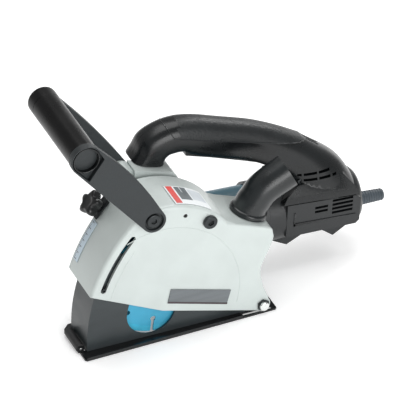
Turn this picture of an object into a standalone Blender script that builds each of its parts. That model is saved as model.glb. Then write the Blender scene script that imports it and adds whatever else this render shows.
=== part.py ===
"""Wall chaser: a motor unit with two diamond wheels, hinged on a sliding base.

Axes: +X to the rear of the tool, +Y away from the open case side, +Z up. The machine is
at rest raised on its pivot, with the wheels clear of the work. Lengths below are in
millimetres from the pivot axis (X, Z) and from the near face of the blade case (Y).
"""

import math

import bmesh
import bpy
from mathutils import Vector

MM = 0.001
TOOL_ORIGIN = Vector((22.066, -58.0, 9.0))
GAP = 0.3

# Base and inner guard, which stay on the wall.
SOLE_BOTTOM = -9.0
SOLE_TOP = -7.0
GUARD_RADIUS = 198.0
GUARD_SHEET = 2.0
GUARD_NEAR = 4.5
GUARD_FAR = 48.0
GUARD_SLOT_PATH = 127.5
GUARD_SLOT_RADIUS = 27.7
GUARD_SLOT_ANGLE = 11.0
ROLLER_RADIUS = 5.0
ROLLER_HEIGHT = SOLE_BOTTOM + ROLLER_RADIUS + 0.3
FRONT_ROLLER_X = -203.8
REAR_ROLLER_X = -24.0
ROLLER_SIDES = (8.0, 42.0)

# Blade case, hinged at the pivot.
CASE_RADIUS = 205.0
CASE_WALL = 3.5
CASE_FACE = 3.0
CASE_DEPTH = 57.0
BACK_PLATE = 3.0
PIVOT_BOSS = 8.6
PIN_RADIUS = 3.5
TOP_CENTRE = (-115.5, 60.0)
TOP_RADIUS = 94.5
GUIDE_RADIUS = 193.0
GUIDE_LOW = 20.8
GUIDE_HIGH = 40.4
STOP_RADIUS = 188.0
STOP_ANGLE = 39.5
STOP_LOW = 21.0
STOP_HIGH = 43.0

# Spindle and wheels.
SPINDLE = (-115.5, 58.5)
WHEEL_RADIUS = 62.5
WHEEL_THICKNESS = 2.2
NEAR_WHEEL = 8.0
FAR_WHEEL = 34.0
HUB_RADIUS = 22.0
LOCK_PIN = (-108.0, 77.0)

# Motor.
MOTOR_Y = 92.5
MOTOR_DROOP = 3.0
MOTOR_RADIUS = 31.5
REAR_RADIUS = 33.0
MOTOR_START = 52.0
MOTOR_END = 136.0
REAR_END = 262.0
GUARD_DROP = 10.0

# Front grip and loop handle.
GRIP_BOLT = (-127.3, 148.4)
GRIP_TUBE = (-201.0, 244.0)
GRIP_RADIUS = 16.0
GRIP_SIDES = (-11.0, 113.0)
FAR_ARM = 88.0
ARM_THICKNESS = 8.0

MATERIALS = {
    "cast_silver": ((0.62, 0.66, 0.65), 0.38, 0.6),
    "black_steel": ((0.045, 0.05, 0.055), 0.4, 0.7),
    "bright_steel": ((0.7, 0.7, 0.7), 0.25, 1.0),
    "dark_bolt": ((0.05, 0.055, 0.06), 0.35, 0.8),
    "black_plastic": ((0.03, 0.033, 0.037), 0.5, 0.0),
    "teal_plastic": ((0.03, 0.17, 0.22), 0.4, 0.0),
    "blue_wheel": ((0.05, 0.33, 0.5), 0.4, 0.2),
    "roller_plastic": ((0.02, 0.02, 0.02), 0.6, 0.0),
    "plate_grey": ((0.18, 0.19, 0.2), 0.4, 0.0),
    "plate_white": ((0.85, 0.85, 0.85), 0.5, 0.0),
    "copper": ((0.72, 0.35, 0.18), 0.35, 1.0),
    "core_steel": ((0.3, 0.3, 0.31), 0.5, 0.9),
    "carbon": ((0.03, 0.03, 0.03), 0.8, 0.1),
}


def material(name):
    found = bpy.data.materials.get(name)
    if found:
        return found
    colour, roughness, metallic = MATERIALS[name]
    made = bpy.data.materials.new(name)
    made.use_nodes = True
    shader = made.node_tree.nodes["Principled BSDF"]
    shader.inputs["Base Color"].default_value = (*colour, 1)
    shader.inputs["Roughness"].default_value = roughness
    shader.inputs["Metallic"].default_value = metallic
    return made


def node(name, mesh, material_name, origin=(0, 0, 0), smooth=True):
    """Makes the object whose own origin is at this point of the tool."""
    bmesh.ops.remove_doubles(mesh, verts=mesh.verts, dist=1e-4)
    bmesh.ops.recalc_face_normals(mesh, faces=mesh.faces)
    if mesh.calc_volume(signed=True) < 0:
        bmesh.ops.reverse_faces(mesh, faces=mesh.faces)
    for vertex in mesh.verts:
        vertex.co = (vertex.co - Vector(origin)) * MM
    data = bpy.data.meshes.new(name)
    mesh.to_mesh(data)
    mesh.free()
    made = bpy.data.objects.new(name, data)
    made.location = (TOOL_ORIGIN + Vector(origin)) * MM
    bpy.context.scene.collection.objects.link(made)
    if material_name:
        data.materials.append(material(material_name))
        if smooth:
            data.shade_smooth()
            data.set_sharp_from_angle(angle=math.radians(35))
    return made


def helper(name, mesh):
    """A cutter or an added shape, which isn't a piece of its own."""
    made = node(name, mesh, None)
    made.hide_render = True
    made.display_type = "WIRE"
    return made


def combine(target, operation, *meshes):
    """Adds each shape to the target or takes it away."""
    for count, mesh in enumerate(meshes):
        other = helper(f"{target.name}_{operation.lower()}_{count}", mesh)
        modifier = target.modifiers.new(other.name, "BOOLEAN")
        modifier.operation = operation
        modifier.solver = "EXACT"
        modifier.object = other


def loft(rings, closed_ends=True):
    """A skin over rings of points that all have the same count."""
    mesh = bmesh.new()
    made = [[mesh.verts.new(point) for point in ring] for ring in rings]
    count = len(rings[0])
    for first, second in zip(made, made[1:]):
        for i in range(count):
            j = (i + 1) % count
            mesh.faces.new((first[i], first[j], second[j], second[i]))
    if closed_ends:
        mesh.faces.new(made[0][::-1])
        mesh.faces.new(made[-1])
    return mesh


def side_prism(outline, near, far):
    """A side-view outline of (X, Z) points carried from one Y to another."""
    return loft([[Vector((x, y, z)) for x, z in outline] for y in (near, far)])


def flat_prism(outline, low, high):
    """A plan outline of (X, Y) points carried from one Z to another."""
    return loft([[Vector((x, y, z)) for x, y in outline] for z in (low, high)])


def box(low, high):
    corners = [(low[0], low[1]), (high[0], low[1]), (high[0], high[1]), (low[0], high[1])]
    return flat_prism(corners, low[2], high[2])


def frame_of(direction):
    along = Vector(direction).normalized()
    across = Vector((0, 1, 0)) if abs(along.y) < 0.9 else Vector((0, 0, 1))
    across = (across - along * across.dot(along)).normalized()
    return along, across, along.cross(across)


def turned(start, direction, profile, segments=32, ring=False):
    """A turned shape: profile of (distance along, radius); a ring's profile closes on itself."""
    along, across, up = frame_of(direction)
    rings = []
    for distance, radius in profile:
        centre = Vector(start) + along * distance
        rings.append(
            [
                centre
                + (across * math.cos(turn) + up * math.sin(turn)) * radius
                for turn in (2 * math.pi * i / segments for i in range(segments))
            ]
        )
    if ring:
        rings.append(rings[0])
    return loft(rings, closed_ends=not ring)


def cylinder(x, z, near, far, radius, segments=32):
    return turned((x, near, z), (0, 1, 0), [(0, radius), (far - near, radius)], segments)


def collar(x, z, near, far, radius, bore, segments=32):
    length = far - near
    profile = [(0, bore), (0, radius), (length, radius), (length, bore)]
    return turned((x, near, z), (0, 1, 0), profile, segments, ring=True)


def polar(radius, degrees, centre=(0.0, 0.0)):
    """The point forward of the centre at this angle above the sole."""
    turn = math.radians(degrees)
    return (centre[0] - radius * math.cos(turn), centre[1] + radius * math.sin(turn))


def arc(radius, start, end, steps, centre=(0.0, 0.0)):
    return [
        polar(radius, start + (end - start) * i / steps, centre) for i in range(steps + 1)
    ]


def sector(inner, outer, low, high, steps=12):
    """The side outline of a curved band about the pivot."""
    return arc(outer, low, high, steps) + arc(inner, high, low, steps)


def rounded_slot(radius, low, high, half_width, steps=10):
    """An arc slot about the pivot, with a round end at each angle."""
    outline = arc(radius + half_width, low, high, steps)
    outline += arc(half_width, high, high + 180, 6, polar(radius, high))[1:]
    outline += arc(radius - half_width, high, low, steps)[1:]
    outline += arc(half_width, low + 180, low + 360, 6, polar(radius, low))[1:-1]
    return outline


def motor_point(distance, drop=0.0, side=0.0):
    """A point of the motor axis, this far behind the spindle."""
    turn = math.radians(MOTOR_DROOP)
    return Vector(
        (
            SPINDLE[0] + distance * math.cos(turn) - drop * math.sin(turn),
            MOTOR_Y + side,
            SPINDLE[1] - distance * math.sin(turn) - drop * math.cos(turn),
        )
    )


def motor_turned(profile, segments=36, ring=False):
    direction = motor_point(1) - motor_point(0)
    return turned(motor_point(0), direction, profile, segments, ring)


# ---- Base ----


def base_plate():
    """Pressed steel sole: it carries the guard, and its far wing runs under the motor."""
    outline = [
        (-205, -7), (-203, -9), (13.5, -2.4), (15, -0.9),
        (15, 100), (5, 110), (-147, 110), (-155, 102), (-155, 58), (-198, 58), (-205, 51),
    ]
    plate = node("base_plate", flat_prism(outline, SOLE_BOTTOM, SOLE_TOP), "black_steel")
    rim = flat_prism([(-203, -8.9), (-24, -3.4), (-24, -0.9), (-203, -6.6)], SOLE_BOTTOM + 1, -5.0)
    lugs = []
    for x, half in ((FRONT_ROLLER_X, 3.4), (REAR_ROLLER_X, 4.0)):
        for near, far in ((ROLLER_SIDES[0] - 1.2, ROLLER_SIDES[0] - 0.4),
                          (ROLLER_SIDES[1] + 0.4, ROLLER_SIDES[1] + 1.2)):
            lugs.append(box((x - half, near, SOLE_TOP - 1), (x + half, far, -0.6)))
    combine(plate, "UNION", rim, *lugs)
    blade_gap = box((-188, 7.0, SOLE_BOTTOM - 1), (-66, 45.2, SOLE_TOP + 1))
    foot_notch = box((-24, -0.6, SOLE_BOTTOM - 1), (9.8, 3.9, SOLE_TOP + 1))
    windows = [
        box((-24, CASE_DEPTH - 0.6, SOLE_BOTTOM - 1), (13, CASE_DEPTH + 4.2, SOLE_TOP + 1))
    ]
    for x in (FRONT_ROLLER_X, REAR_ROLLER_X):
        reach = ROLLER_RADIUS + 0.6
        low = x - reach
        windows.append(box((low, ROLLER_SIDES[0] - 0.4, SOLE_BOTTOM - 1),
                           (x + reach, ROLLER_SIDES[1] + 0.4, SOLE_TOP + 1)))
    holes = [
        cylinder(x, ROLLER_HEIGHT, 5.8, 44.2, 1.8, 16) for x in (FRONT_ROLLER_X, REAR_ROLLER_X)
    ]
    washer_dish = cylinder(0, 0, -4.0, 1.0, 7.9, 32)
    combine(plate, "DIFFERENCE", blade_gap, foot_notch, washer_dish, *windows, *holes)


def inner_guard():
    """Bent steel channel that the case slides over, with a slot for the hub of the wheels
    and a horn that closes the guide slot from behind."""
    low = SOLE_TOP + GAP
    slot_in = GUARD_SLOT_PATH - GUARD_SLOT_RADIUS
    slot_out = GUARD_SLOT_PATH + GUARD_SLOT_RADIUS
    outline = [(-math.sqrt(GUARD_RADIUS**2 - low**2), low)]
    outline += arc(GUARD_RADIUS, 0, 25, 14)
    outline += arc(slot_out, 25, GUARD_SLOT_ANGLE, 6)
    outline += arc(GUARD_SLOT_RADIUS, GUARD_SLOT_ANGLE, GUARD_SLOT_ANGLE - 180, 14,
                   polar(GUARD_SLOT_PATH, GUARD_SLOT_ANGLE))[1:]
    outline += arc(slot_in, GUARD_SLOT_ANGLE, 17, 3)[1:]
    outline += arc(8.5, 80, 180, 6)
    outline += [(8.5, low)]
    guard = node("inner_guard", side_prism(outline, GUARD_NEAR, GUARD_NEAR + GUARD_SHEET),
                 "black_steel")
    far_plate = side_prism(outline, GUARD_FAR - GUARD_SHEET, GUARD_FAR)
    horn = side_prism(sector(GUIDE_RADIUS - 5.5, GUIDE_RADIUS + 4.5, 24.5, 34, 8),
                      GUARD_NEAR, GUARD_NEAR + GUARD_SHEET)
    front = [(-math.sqrt(GUARD_RADIUS**2 - low**2) + 0.01, low)]
    front += arc(GUARD_RADIUS - 0.01, 0, 24.9, 14)
    front += arc(GUARD_RADIUS - GUARD_SHEET, 24.9, 0, 14)
    front += [(-GUARD_RADIUS + GUARD_SHEET, low)]
    bend = side_prism(front, GUARD_NEAR + 0.5, GUARD_FAR - 0.5)
    lug = side_prism(sector(STOP_RADIUS - 5, STOP_RADIUS + 5, 16.5, 20.5, 3),
                     GUARD_FAR - 1, GUARD_FAR + 6)
    combine(guard, "UNION", far_plate, bend, lug, horn)
    combine(guard, "DIFFERENCE", cylinder(0, 0, 0, 60, PIN_RADIUS + GAP, 24))


def guide_pin():
    """Steel pin of the guard, which runs in the curved slot of the case."""
    x, z = polar(GUIDE_RADIUS, GUIDE_LOW + 0.2)
    profile = [(0, 2.0), (0.6, 2.6), (4.5, 2.6), (4.5, 4.4), (5.4, 4.4)]
    pin = node("guide_pin", turned((x, -1.2, z), (0, 1, 0), profile, 20), "dark_bolt")
    combine(pin, "DIFFERENCE", turned((x, -2, z), (0, 1, 0), [(0, 1.3), (2.4, 1.3)], 6))


def pivot_pieces():
    """Shoulder bolt with its washer, its nut, and the spring that lifts the machine."""
    shank = [(0, 4.2), (0.8, 5.2), (3.2, 5.2), (3.2, PIN_RADIUS), (72, PIN_RADIUS)]
    node("pivot_bolt", turned((0, -5.5, 0), (0, 1, 0), shank, 28), "bright_steel")
    node("pivot_washer", turned((0, -2.0, 0), (0, 1, 0),
         [(0, 4.4), (0, 7.2), (1.6, 7.2), (1.6, 4.4)], 6, ring=True), "dark_bolt")
    node("pivot_nut", turned((0, 61.0, 0), (0, 1, 0),
         [(0, 4.4), (0, 6.4), (5, 6.4), (5, 4.4)], 6, ring=True), "dark_bolt")
    turns, steps, wire = 4, 14, 0.9
    rings = []
    for i in range(turns * steps + 1):
        turn = 2 * math.pi * i / steps
        out = Vector((math.cos(turn), 0, math.sin(turn)))
        centre = out * 5.4 + Vector((0, 14 + 2.4 * i / steps, 0))
        rings.append([
            centre + out * wire * math.cos(a) + Vector((0, wire * math.sin(a), 0))
            for a in (2 * math.pi * k / 6 for k in range(6))
        ])
    node("return_spring", loft(rings), "bright_steel")


def rollers():
    """Two plastic rollers, which keep the sole just off the wall."""
    near, far = ROLLER_SIDES
    for name, x in (("front", FRONT_ROLLER_X), ("rear", REAR_ROLLER_X)):
        origin = (x, (near + far) / 2, ROLLER_HEIGHT)
        node(f"{name}_roller",
             collar(x, ROLLER_HEIGHT, near + GAP, far - GAP, ROLLER_RADIUS, 1.8, 20),
             "roller_plastic", origin)
        node(f"{name}_roller_axle",
             cylinder(x, ROLLER_HEIGHT, near - 1.2, far + 1.2, 1.4, 12), "bright_steel")


# ---- Blade case ----


def case_outline(inset):
    """Side outline of the case; an inset outline runs out through the open bottom."""
    top = TOP_RADIUS - inset
    outline = arc(CASE_RADIUS - inset, 18.1 if inset == 0 else 8, 46.5, 12)
    outline += arc(top, 78 + inset * 0.3, 144, 14, TOP_CENTRE)
    outline += [(-29.7 - inset * 0.4, 110.8 - inset), (11 - inset, 95.2 - inset)]
    outline += [(12.4 - inset, 84), (8 - inset, 70), (-2.3 - inset, 47.5)]
    if inset:
        outline += [(-3 - inset, 24), (-2, 14), (-2, -12), (-190, -12)]
        return outline
    outline += [(0.6, 23), (6.6, 7.5)]
    outline += arc(PIVOT_BOSS, 222 - 80, 272, 6)
    outline += [(-10.3, -4.8), (-114.4, 24.6)]
    return outline


def blade_case():
    """Die-cast cover over the wheels: near face, front wall, top and rear in one casting."""
    case = node("blade_case", side_prism(case_outline(0), 0, CASE_DEPTH), "cast_silver")
    hollow = side_prism(case_outline(CASE_WALL), CASE_FACE, CASE_DEPTH + 2)
    pivot_room = cylinder(0, 0, CASE_FACE, CASE_DEPTH + 2, PIVOT_BOSS + 3, 24)
    guide_slot = side_prism(rounded_slot(GUIDE_RADIUS, GUIDE_LOW, GUIDE_HIGH, 3.1), -2, 5)
    pivot_hole = cylinder(0, 0, -2, 5, PIN_RADIUS + GAP, 24)
    outlet = turned((-9.8, 28, 91.5), ledge_normal(), [(0, 15.0), (30, 15.0)], 24)
    grip_hole = cylinder(*GRIP_BOLT, -2, 5, 3.3, 16)
    screw_hole = cylinder(-61, 124, -2, 5, 3.3, 16)
    small_hole = cylinder(-88, 138, -2, 1.6, 2.2, 16)
    combine(case, "DIFFERENCE", hollow, pivot_room, guide_slot, pivot_hole, outlet, grip_hole,
            screw_hole, small_hole)


def ledge_normal():
    """Direction square to the sloping ledge at the case's rear top."""
    slope = Vector((40.7, 0, -15.6)).normalized()
    return (-slope.z, 0, slope.x)


def case_back():
    """Back plate of the case, which the gear housing is screwed to."""
    near = CASE_DEPTH + GAP
    plate = node("case_back", side_prism(case_outline(0), near, near + BACK_PLATE), "cast_silver")
    bore = cylinder(*SPINDLE, near - 2, near + 6, 25.0, 32)
    pivot_hole = cylinder(0, 0, near - 2, near + 6, PIN_RADIUS + GAP, 24)
    slot = side_prism(rounded_slot(STOP_RADIUS, STOP_LOW, STOP_HIGH, 3.1), near - 2, near + 6)
    combine(plate, "DIFFERENCE", bore, pivot_hole, slot)


def face_fittings():
    """Screws and blank plates on the near face and the top of the case."""
    screw = turned((-61, -4.2, 124), (0, 1, 0),
                   [(0, 6.9), (0.8, 7.7), (3.9, 7.7), (3.9, 3.0), (9, 3.0)], 24)
    screw = node("case_screw", screw, "dark_bolt")
    combine(screw, "DIFFERENCE", turned((-61, -6, 124), (0, 1, 0), [(0, 3.6), (4.5, 3.6)], 6))
    corners = [(-105, 50), (-109, 33), (-42, 13), (-37, 30)]
    node("name_plate", side_prism(corners, -1.1, -GAP), "plate_grey")
    band = arc(TOP_RADIUS + 1.1, 101, 128, 8, TOP_CENTRE)
    band += arc(TOP_RADIUS + GAP, 128, 101, 8, TOP_CENTRE)
    node("top_plate", side_prism(band, 4, 38), "plate_white")


def depth_stop():
    """Slider that limits the plunge, its clamping knob, and the scale beside it."""
    near = CASE_DEPTH + GAP + BACK_PLATE + GAP
    plate = sector(STOP_RADIUS - 7, CASE_RADIUS + 3.4, STOP_ANGLE - 3.4, STOP_ANGLE + 3.4, 4)
    slider = node("depth_stop_slider", side_prism(plate, near, near + 3), "black_steel")
    tab = side_prism(sector(CASE_RADIUS + 1.3, CASE_RADIUS + 3.2, STOP_ANGLE - 3.2,
                            STOP_ANGLE + 3.2, 4), 51, near + 1)
    pin = cylinder(*polar(STOP_RADIUS, STOP_ANGLE), 50.5, near + 1, 2.8, 16)
    combine(slider, "UNION", tab, pin)
    turn = math.radians(STOP_ANGLE)
    out = Vector((-math.cos(turn), 0, math.sin(turn)))
    foot = Vector((*polar(CASE_RADIUS + 3.6, STOP_ANGLE), 0))
    foot = Vector((foot.x, 57.5, foot.y))
    along, across, up = frame_of(out)
    rings = []
    for height, reach in ((0, 6.0), (5, 6.0), (5.01, 12.5), (15, 13.5), (17, 12.0)):
        rings.append([
            foot + along * height + (across * math.cos(a) + up * math.sin(a))
            * reach * (1 + (0.14 * math.cos(5 * a) if reach > 8 else 0))
            for a in (2 * math.pi * i / 40 for i in range(40))
        ])
    node("depth_stop_knob", loft(rings), "black_plastic", tuple(foot))
    scale = sector(CASE_RADIUS + GAP, CASE_RADIUS + 0.9, 22, 35.5, 8)
    node("depth_scale", side_prism(scale, 47.5, 57), "plate_white")


def dust_nozzle():
    """Black elbow on the outlet of the case; a hose pushes into its open end."""
    foot = Vector((-5.6, 28, 102.3))
    normal = Vector(ledge_normal())
    centres = [foot, foot + normal * 4, foot + normal * 4.1, foot + normal * 10]
    bend = [(3.0, 118), (9, 125.5), (17.5, 131.5), (29, 137.4), (39.5, 142.6)]
    centres += [Vector((x, 28, z)) for x, z in bend]
    radii = [20.5, 20.5, 18.6, 18.0, 18.0, 18.0, 18.0, 18.2, 18.4]
    bores = [15.5] * 9
    directions = [normal] * 4
    for i in range(4, 9):
        ahead = centres[min(i + 1, 8)] - centres[i - 1]
        directions.append(ahead.normalized())
    outer = []
    inner = []
    for centre, direction, radius, bore in zip(centres, directions, radii, bores):
        along, across, up = frame_of(direction)
        for rings, reach in ((outer, radius), (inner, bore)):
            rings.append([
                centre + (across * math.cos(a) + up * math.sin(a)) * reach
                for a in (2 * math.pi * i / 24 for i in range(24))
            ])
    node("dust_nozzle", loft(outer + inner[::-1] + [outer[0]], closed_ends=False),
         "black_plastic")


# ---- Gear train ----


def gear_housing():
    """Cast housing of the bevel gears, with the neck that carries the loop handle."""
    near = CASE_DEPTH + BACK_PLATE + 2 * GAP
    neck_top = [(-117, 160.5), (-74, 147.5)]
    neck = neck_top + [(-62, 128), (-66, 100), (-66, 70), (-119, 70)]
    housing = node("gear_housing", side_prism(neck, 66, FAR_ARM - GAP), "cast_silver")
    head = cylinder(*SPINDLE, near, 112, 32, 36)
    barrel = motor_turned([(-14, 24), (0, 30), (20, 31.4), (MOTOR_START - GAP, 31.4)])
    boss = cylinder(*GRIP_BOLT, 70, FAR_ARM - GAP, 14, 24)
    far_neck = [(-106, 157.2), (-74, 147.5), (-62, 128), (-66, 100), (-66, 70), (-106, 70)]
    far_side = side_prism(far_neck, FAR_ARM - 1, 102)
    combine(housing, "UNION", head, barrel, boss, far_side)
    gear_room = cylinder(*SPINDLE, near - 2, 109, 29.3, 36)
    shaft_room = motor_turned([(0, 15), (36, 15), (36.01, 28), (MOTOR_START + 2, 28)], 36)
    lock_hole = cylinder(*LOCK_PIN, 100, 120, 3.4, 16)
    bolt_hole = cylinder(*GRIP_BOLT, 72, 90, 3.3, 16)
    lock_seat = cylinder(*LOCK_PIN, 112.3, 130, 9, 20)
    combine(housing, "DIFFERENCE", gear_room, shaft_room, lock_hole, lock_seat, bolt_hole)


def spindle_group():
    """Output spindle with its bevel gear, flange, two wheels, spacer and lock nut."""
    x, z = SPINDLE
    origin = (x, 0, z)
    shaft = [(0, 5), (1, 5.6), (29.7, 5.6), (29.7, 7.9), (74, 7.9), (74, 5.0), (97, 5.0), (97, 4), (103, 4)]
    node("spindle", turned((x, 4.2, z), (0, 1, 0), shaft, 28), "bright_steel", origin)
    node("lock_nut", collar(x, z, 3.9, NEAR_WHEEL - GAP, 19, 6.0, 32), "dark_bolt", origin)
    node("inner_flange", collar(x, z, FAR_WHEEL + WHEEL_THICKNESS + GAP, 43.4, HUB_RADIUS, 8.3, 32),
         "bright_steel", origin)
    node("wheel_spacer", collar(x, z, NEAR_WHEEL + WHEEL_THICKNESS + GAP, FAR_WHEEL - GAP,
                                18, 6.0, 32), "bright_steel", origin)
    for name, near in (("near_diamond_wheel", NEAR_WHEEL), ("far_diamond_wheel", FAR_WHEEL)):
        far = near + WHEEL_THICKNESS
        mid_near, mid_far = near + 0.3, far - 0.3
        profile = [
            (near, 8.3), (near, 24), (mid_near, 24.5), (mid_near, 54.5), (near, 55),
            (near, WHEEL_RADIUS), (far, WHEEL_RADIUS), (far, 55), (mid_far, 54.5),
            (mid_far, 24.5), (far, 24), (far, 8.3),
        ]
        node(name, turned((x, 0, z), (0, 1, 0), profile, 36, ring=True), "blue_wheel", origin)
    gear = [(68.5, 8.3), (68.5, 20), (74, 26.5), (80.4, 22.5), (80.4, 12), (78, 8.3)]
    node("bevel_gear", turned((x, 0, z), (0, 1, 0), gear, 41, ring=True), "core_steel", origin)
    node("bearing_box",
         turned((x, 0, z), (0, 1, 0),
                [(44.6, 9.2), (44.6, 24), (60.8, 24), (60.8, 28.6), (66, 28.6), (66, 16.6),
                 (47.6, 16.6), (47.6, 9.2)], 32, ring=True), "cast_silver")
    node("spindle_bearing", collar(x, z, 48, 58, 16.3, 8.3, 28), "bright_steel")
    node("needle_bearing", collar(x, z, 102, 108.7, 8, 4.4, 24), "bright_steel")


def shaft_lock():
    """Spring button on the far side of the gear housing, which holds the spindle."""
    profile = [(0, 2.6), (31, 2.6), (31, 7.0), (36, 7.0), (37, 6)]
    node("shaft_lock_button", turned((LOCK_PIN[0], 84.5, LOCK_PIN[1]), (0, 1, 0), profile, 20),
         "black_plastic", (LOCK_PIN[0], 118, LOCK_PIN[1]))


def armature_group():
    """Motor shaft with its pinion, fan, wound core and commutator, between two bearings."""
    origin = tuple(motor_point(0))
    shaft = [(16, 3.6), (17, 4.2), (245, 4.2)]
    node("armature_shaft", motor_turned(shaft, 20), "bright_steel", origin)
    pinion = [(17.8, 4.5), (17.8, 7.4), (31, 10.6), (31, 4.5)]
    node("bevel_pinion", motor_turned(pinion, 12, ring=True), "core_steel", origin)
    node("cooling_fan", motor_turned([(58, 4.5), (58, 26), (60, 26.5), (62, 12), (66, 12), (66, 4.5)],
                                     36, ring=True), "black_plastic", origin)
    node("armature_core", motor_turned([(72, 4.5), (72, 14), (78, 19.5), (122, 19.5), (128, 14),
                                        (128, 4.5)], 32, ring=True), "core_steel", origin)
    node("commutator", motor_turned([(150, 4.5), (150, 13), (172, 13), (172, 4.5)], 32, ring=True),
         "copper", origin)
    node("front_bearing", motor_turned([(40, 4.5), (40, 12.6), (49, 12.6), (49, 4.5)], 28, ring=True),
         "bright_steel")
    node("rear_bearing", motor_turned([(232, 4.5), (232, 11), (241, 11), (241, 4.5)], 28, ring=True),
         "bright_steel")
    node("field_core", motor_turned([(74, 20.5), (74, 27.8), (124, 27.8), (124, 20.5)], 36, ring=True),
         "core_steel")
    node("fan_baffle", motor_turned([(67.5, 22), (67.5, 27.8), (70, 27.8), (70, 22)], 32, ring=True),
         "black_plastic")
    for name, way in (("near", -1), ("far", 1)):
        centre = motor_point(161)
        low = 13.6
        for piece, reach, half, start, colour in (
            ("brush", 3.0, 3.6, low, "carbon"), ("brush_holder", 5.4, 6.0, low + 1.4, "copper"),
        ):
            length = 10 if piece == "brush" else 11
            ends = sorted((centre.y + way * start, centre.y + way * (start + length)))
            block = box((centre.x - half, ends[0], centre.z - reach),
                        (centre.x + half, ends[1], centre.z + reach))
            made = node(f"{name}_{piece}", block, colour)
            if piece == "brush_holder":
                room = box((centre.x - 3.9, ends[0] - 2, centre.z - 3.3),
                           (centre.x + 3.9, ends[1] + 2, centre.z + 3.3))
                combine(made, "DIFFERENCE", room)


def motor_shells():
    """Teal motor housing, and the black rear housing with its air slots and feet."""
    tube = [(MOTOR_START, 28.3), (MOTOR_START, MOTOR_RADIUS), (MOTOR_END, MOTOR_RADIUS),
            (MOTOR_END, 28.3)]
    node("motor_housing", motor_turned(tube, ring=True), "teal_plastic")
    start = MOTOR_END + GAP
    wall = [(start, 29.5), (start, 34.5), (start + 14, 34.5), (start + 15, REAR_RADIUS),
            (REAR_END - 14, REAR_RADIUS), (REAR_END - 4, 28), (REAR_END, 20), (REAR_END, 4),
            (REAR_END - 4, 4), (REAR_END - 8, 24), (REAR_END - 16, 29.5)]
    shell = node("rear_housing", motor_turned(wall, ring=True), "black_plastic")
    feet = []
    for front, tip, back in ((158, 178, 200), (218, 232, 250)):
        corners = [motor_point(front, 28), motor_point(tip, 38), motor_point(back, 26)]
        feet.append(side_prism([(c.x, c.z) for c in corners], MOTOR_Y - 16, MOTOR_Y - 12))
    combine(shell, "UNION", *feet)
    slots = []
    for row in range(3):
        for along, length in ((204, 12), (221, 22)):
            spot = motor_point(along, -15 + 6 * row)
            low, high = spot.z - 1.3, spot.z + 1.3
            for near in (MOTOR_Y - 36, MOTOR_Y + 22):
                slots.append(box((spot.x, near, low), (spot.x + length, near + 14, high)))
    cord_hole = turned(motor_point(REAR_END - 20, GUARD_DROP), motor_point(1) - motor_point(0),
                       [(0, 6.6), (30, 6.6)], 20)
    combine(shell, "DIFFERENCE", cord_hole, *slots)


def cord_guard():
    """Rubber sleeve at the rear end, open for the supply cord."""
    start = motor_point(REAR_END - 6, GUARD_DROP)
    profile = [(0, 3.0), (0, 6.2), (6.6, 6.2), (6.6, 7.8), (14, 7.0), (34, 5.6), (34, 3.0)]
    node("cord_guard", turned(start, motor_point(1) - motor_point(0), profile, 24, ring=True),
         "black_plastic")


# ---- Handles ----

HANDLE_PATH = (
    # X, Z, half height, half width, pitch and roundness of the section
    (-95.0, 154.8, 18.6, 19.0, 73, 0.62),
    (-90.6, 162.8, 17.8, 19.0, 72, 0.66),
    (-82.4, 170.8, 20.5, 19.0, 53, 0.78),
    (-64.0, 174.5, 21.8, 19.0, 30, 0.85),
    (-45.0, 170.5, 21.8, 19.0, 0, 0.85),
    (-18.0, 160.5, 21.8, 19.0, -20, 0.85),
    (22.0, 145.7, 21.8, 19.0, -22, 0.85),
    (57.0, 126.0, 22.5, 21.0, -28, 0.85),
    (80.0, 107.5, 24.0, 24.0, -48, 0.85),
    (96.0, 84.5, 33.0, 29.5, -64, 0.8),
    (103.5, 67.0, 37.5, 34.2, -82, 0.7),
)


def handle_ring(station, way):
    """Half of a rounded handle section, on one side of the joint."""
    x, z, half_height, half_width, pitch, roundness = station
    turn = math.radians(pitch)
    up = Vector((-math.sin(turn), 0, math.cos(turn)))
    joint = MOTOR_Y + way * 0.15
    ring = []
    for i in range(11):
        angle = math.pi * i / 10
        rise = math.copysign(abs(math.cos(angle)) ** roundness, math.cos(angle))
        reach = abs(math.sin(angle)) ** roundness
        point = Vector((x, joint, z)) + up * rise * half_height
        point.y += way * reach * (half_width - 0.15)
        ring.append(point)
    return ring


def handle_halves():
    """Two moulded halves of the loop handle, joined down the middle."""
    for name, way in (("near", -1), ("far", 1)):
        rings = [handle_ring(station, way) for station in HANDLE_PATH]
        half = node(f"{name}_handle_half", loft(rings), "black_plastic")
        motor_room = motor_turned([(MOTOR_END - 30, 34.8), (REAR_END + 30, 34.8)])
        lever_room = side_prism(trigger_outline(0.7, 5.5, 30), MOTOR_Y - 13.7, MOTOR_Y + 13.7)
        switch_room = box((-34, MOTOR_Y - 9.3, 146), (-6, MOTOR_Y + 9.3, 176))
        foot_room = side_prism([(-130, 164.6), (-130, 100), (-60, 100), (-60, 143.4)], 60, 120)
        pin_hole = cylinder(*TRIGGER_PIVOT, MOTOR_Y - 16.5, MOTOR_Y + 16.5, 2.4, 14)
        combine(half, "DIFFERENCE", motor_room, lever_room, switch_room, pin_hole,
                foot_room)


TRIGGER_PIVOT = (43.0, 119.6)


def trigger_outline(margin=0.0, travel=0.0, depth=0.0):
    """Side outline of the long lever; its room adds a margin, its travel and an open underside."""
    return [
        (-54 - margin, 154 - depth),
        (-54 - margin, 163.5 + margin + travel),
        (-40, 159.5 + margin + travel),
        (20, 137.5 + margin + travel * 0.4),
        (48 + 2 * margin, 125.5 + margin),
        (49 + 2 * margin, 114.5 - depth),
        (14, 129 - depth),
        (-25, 144 - depth),
    ]


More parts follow.
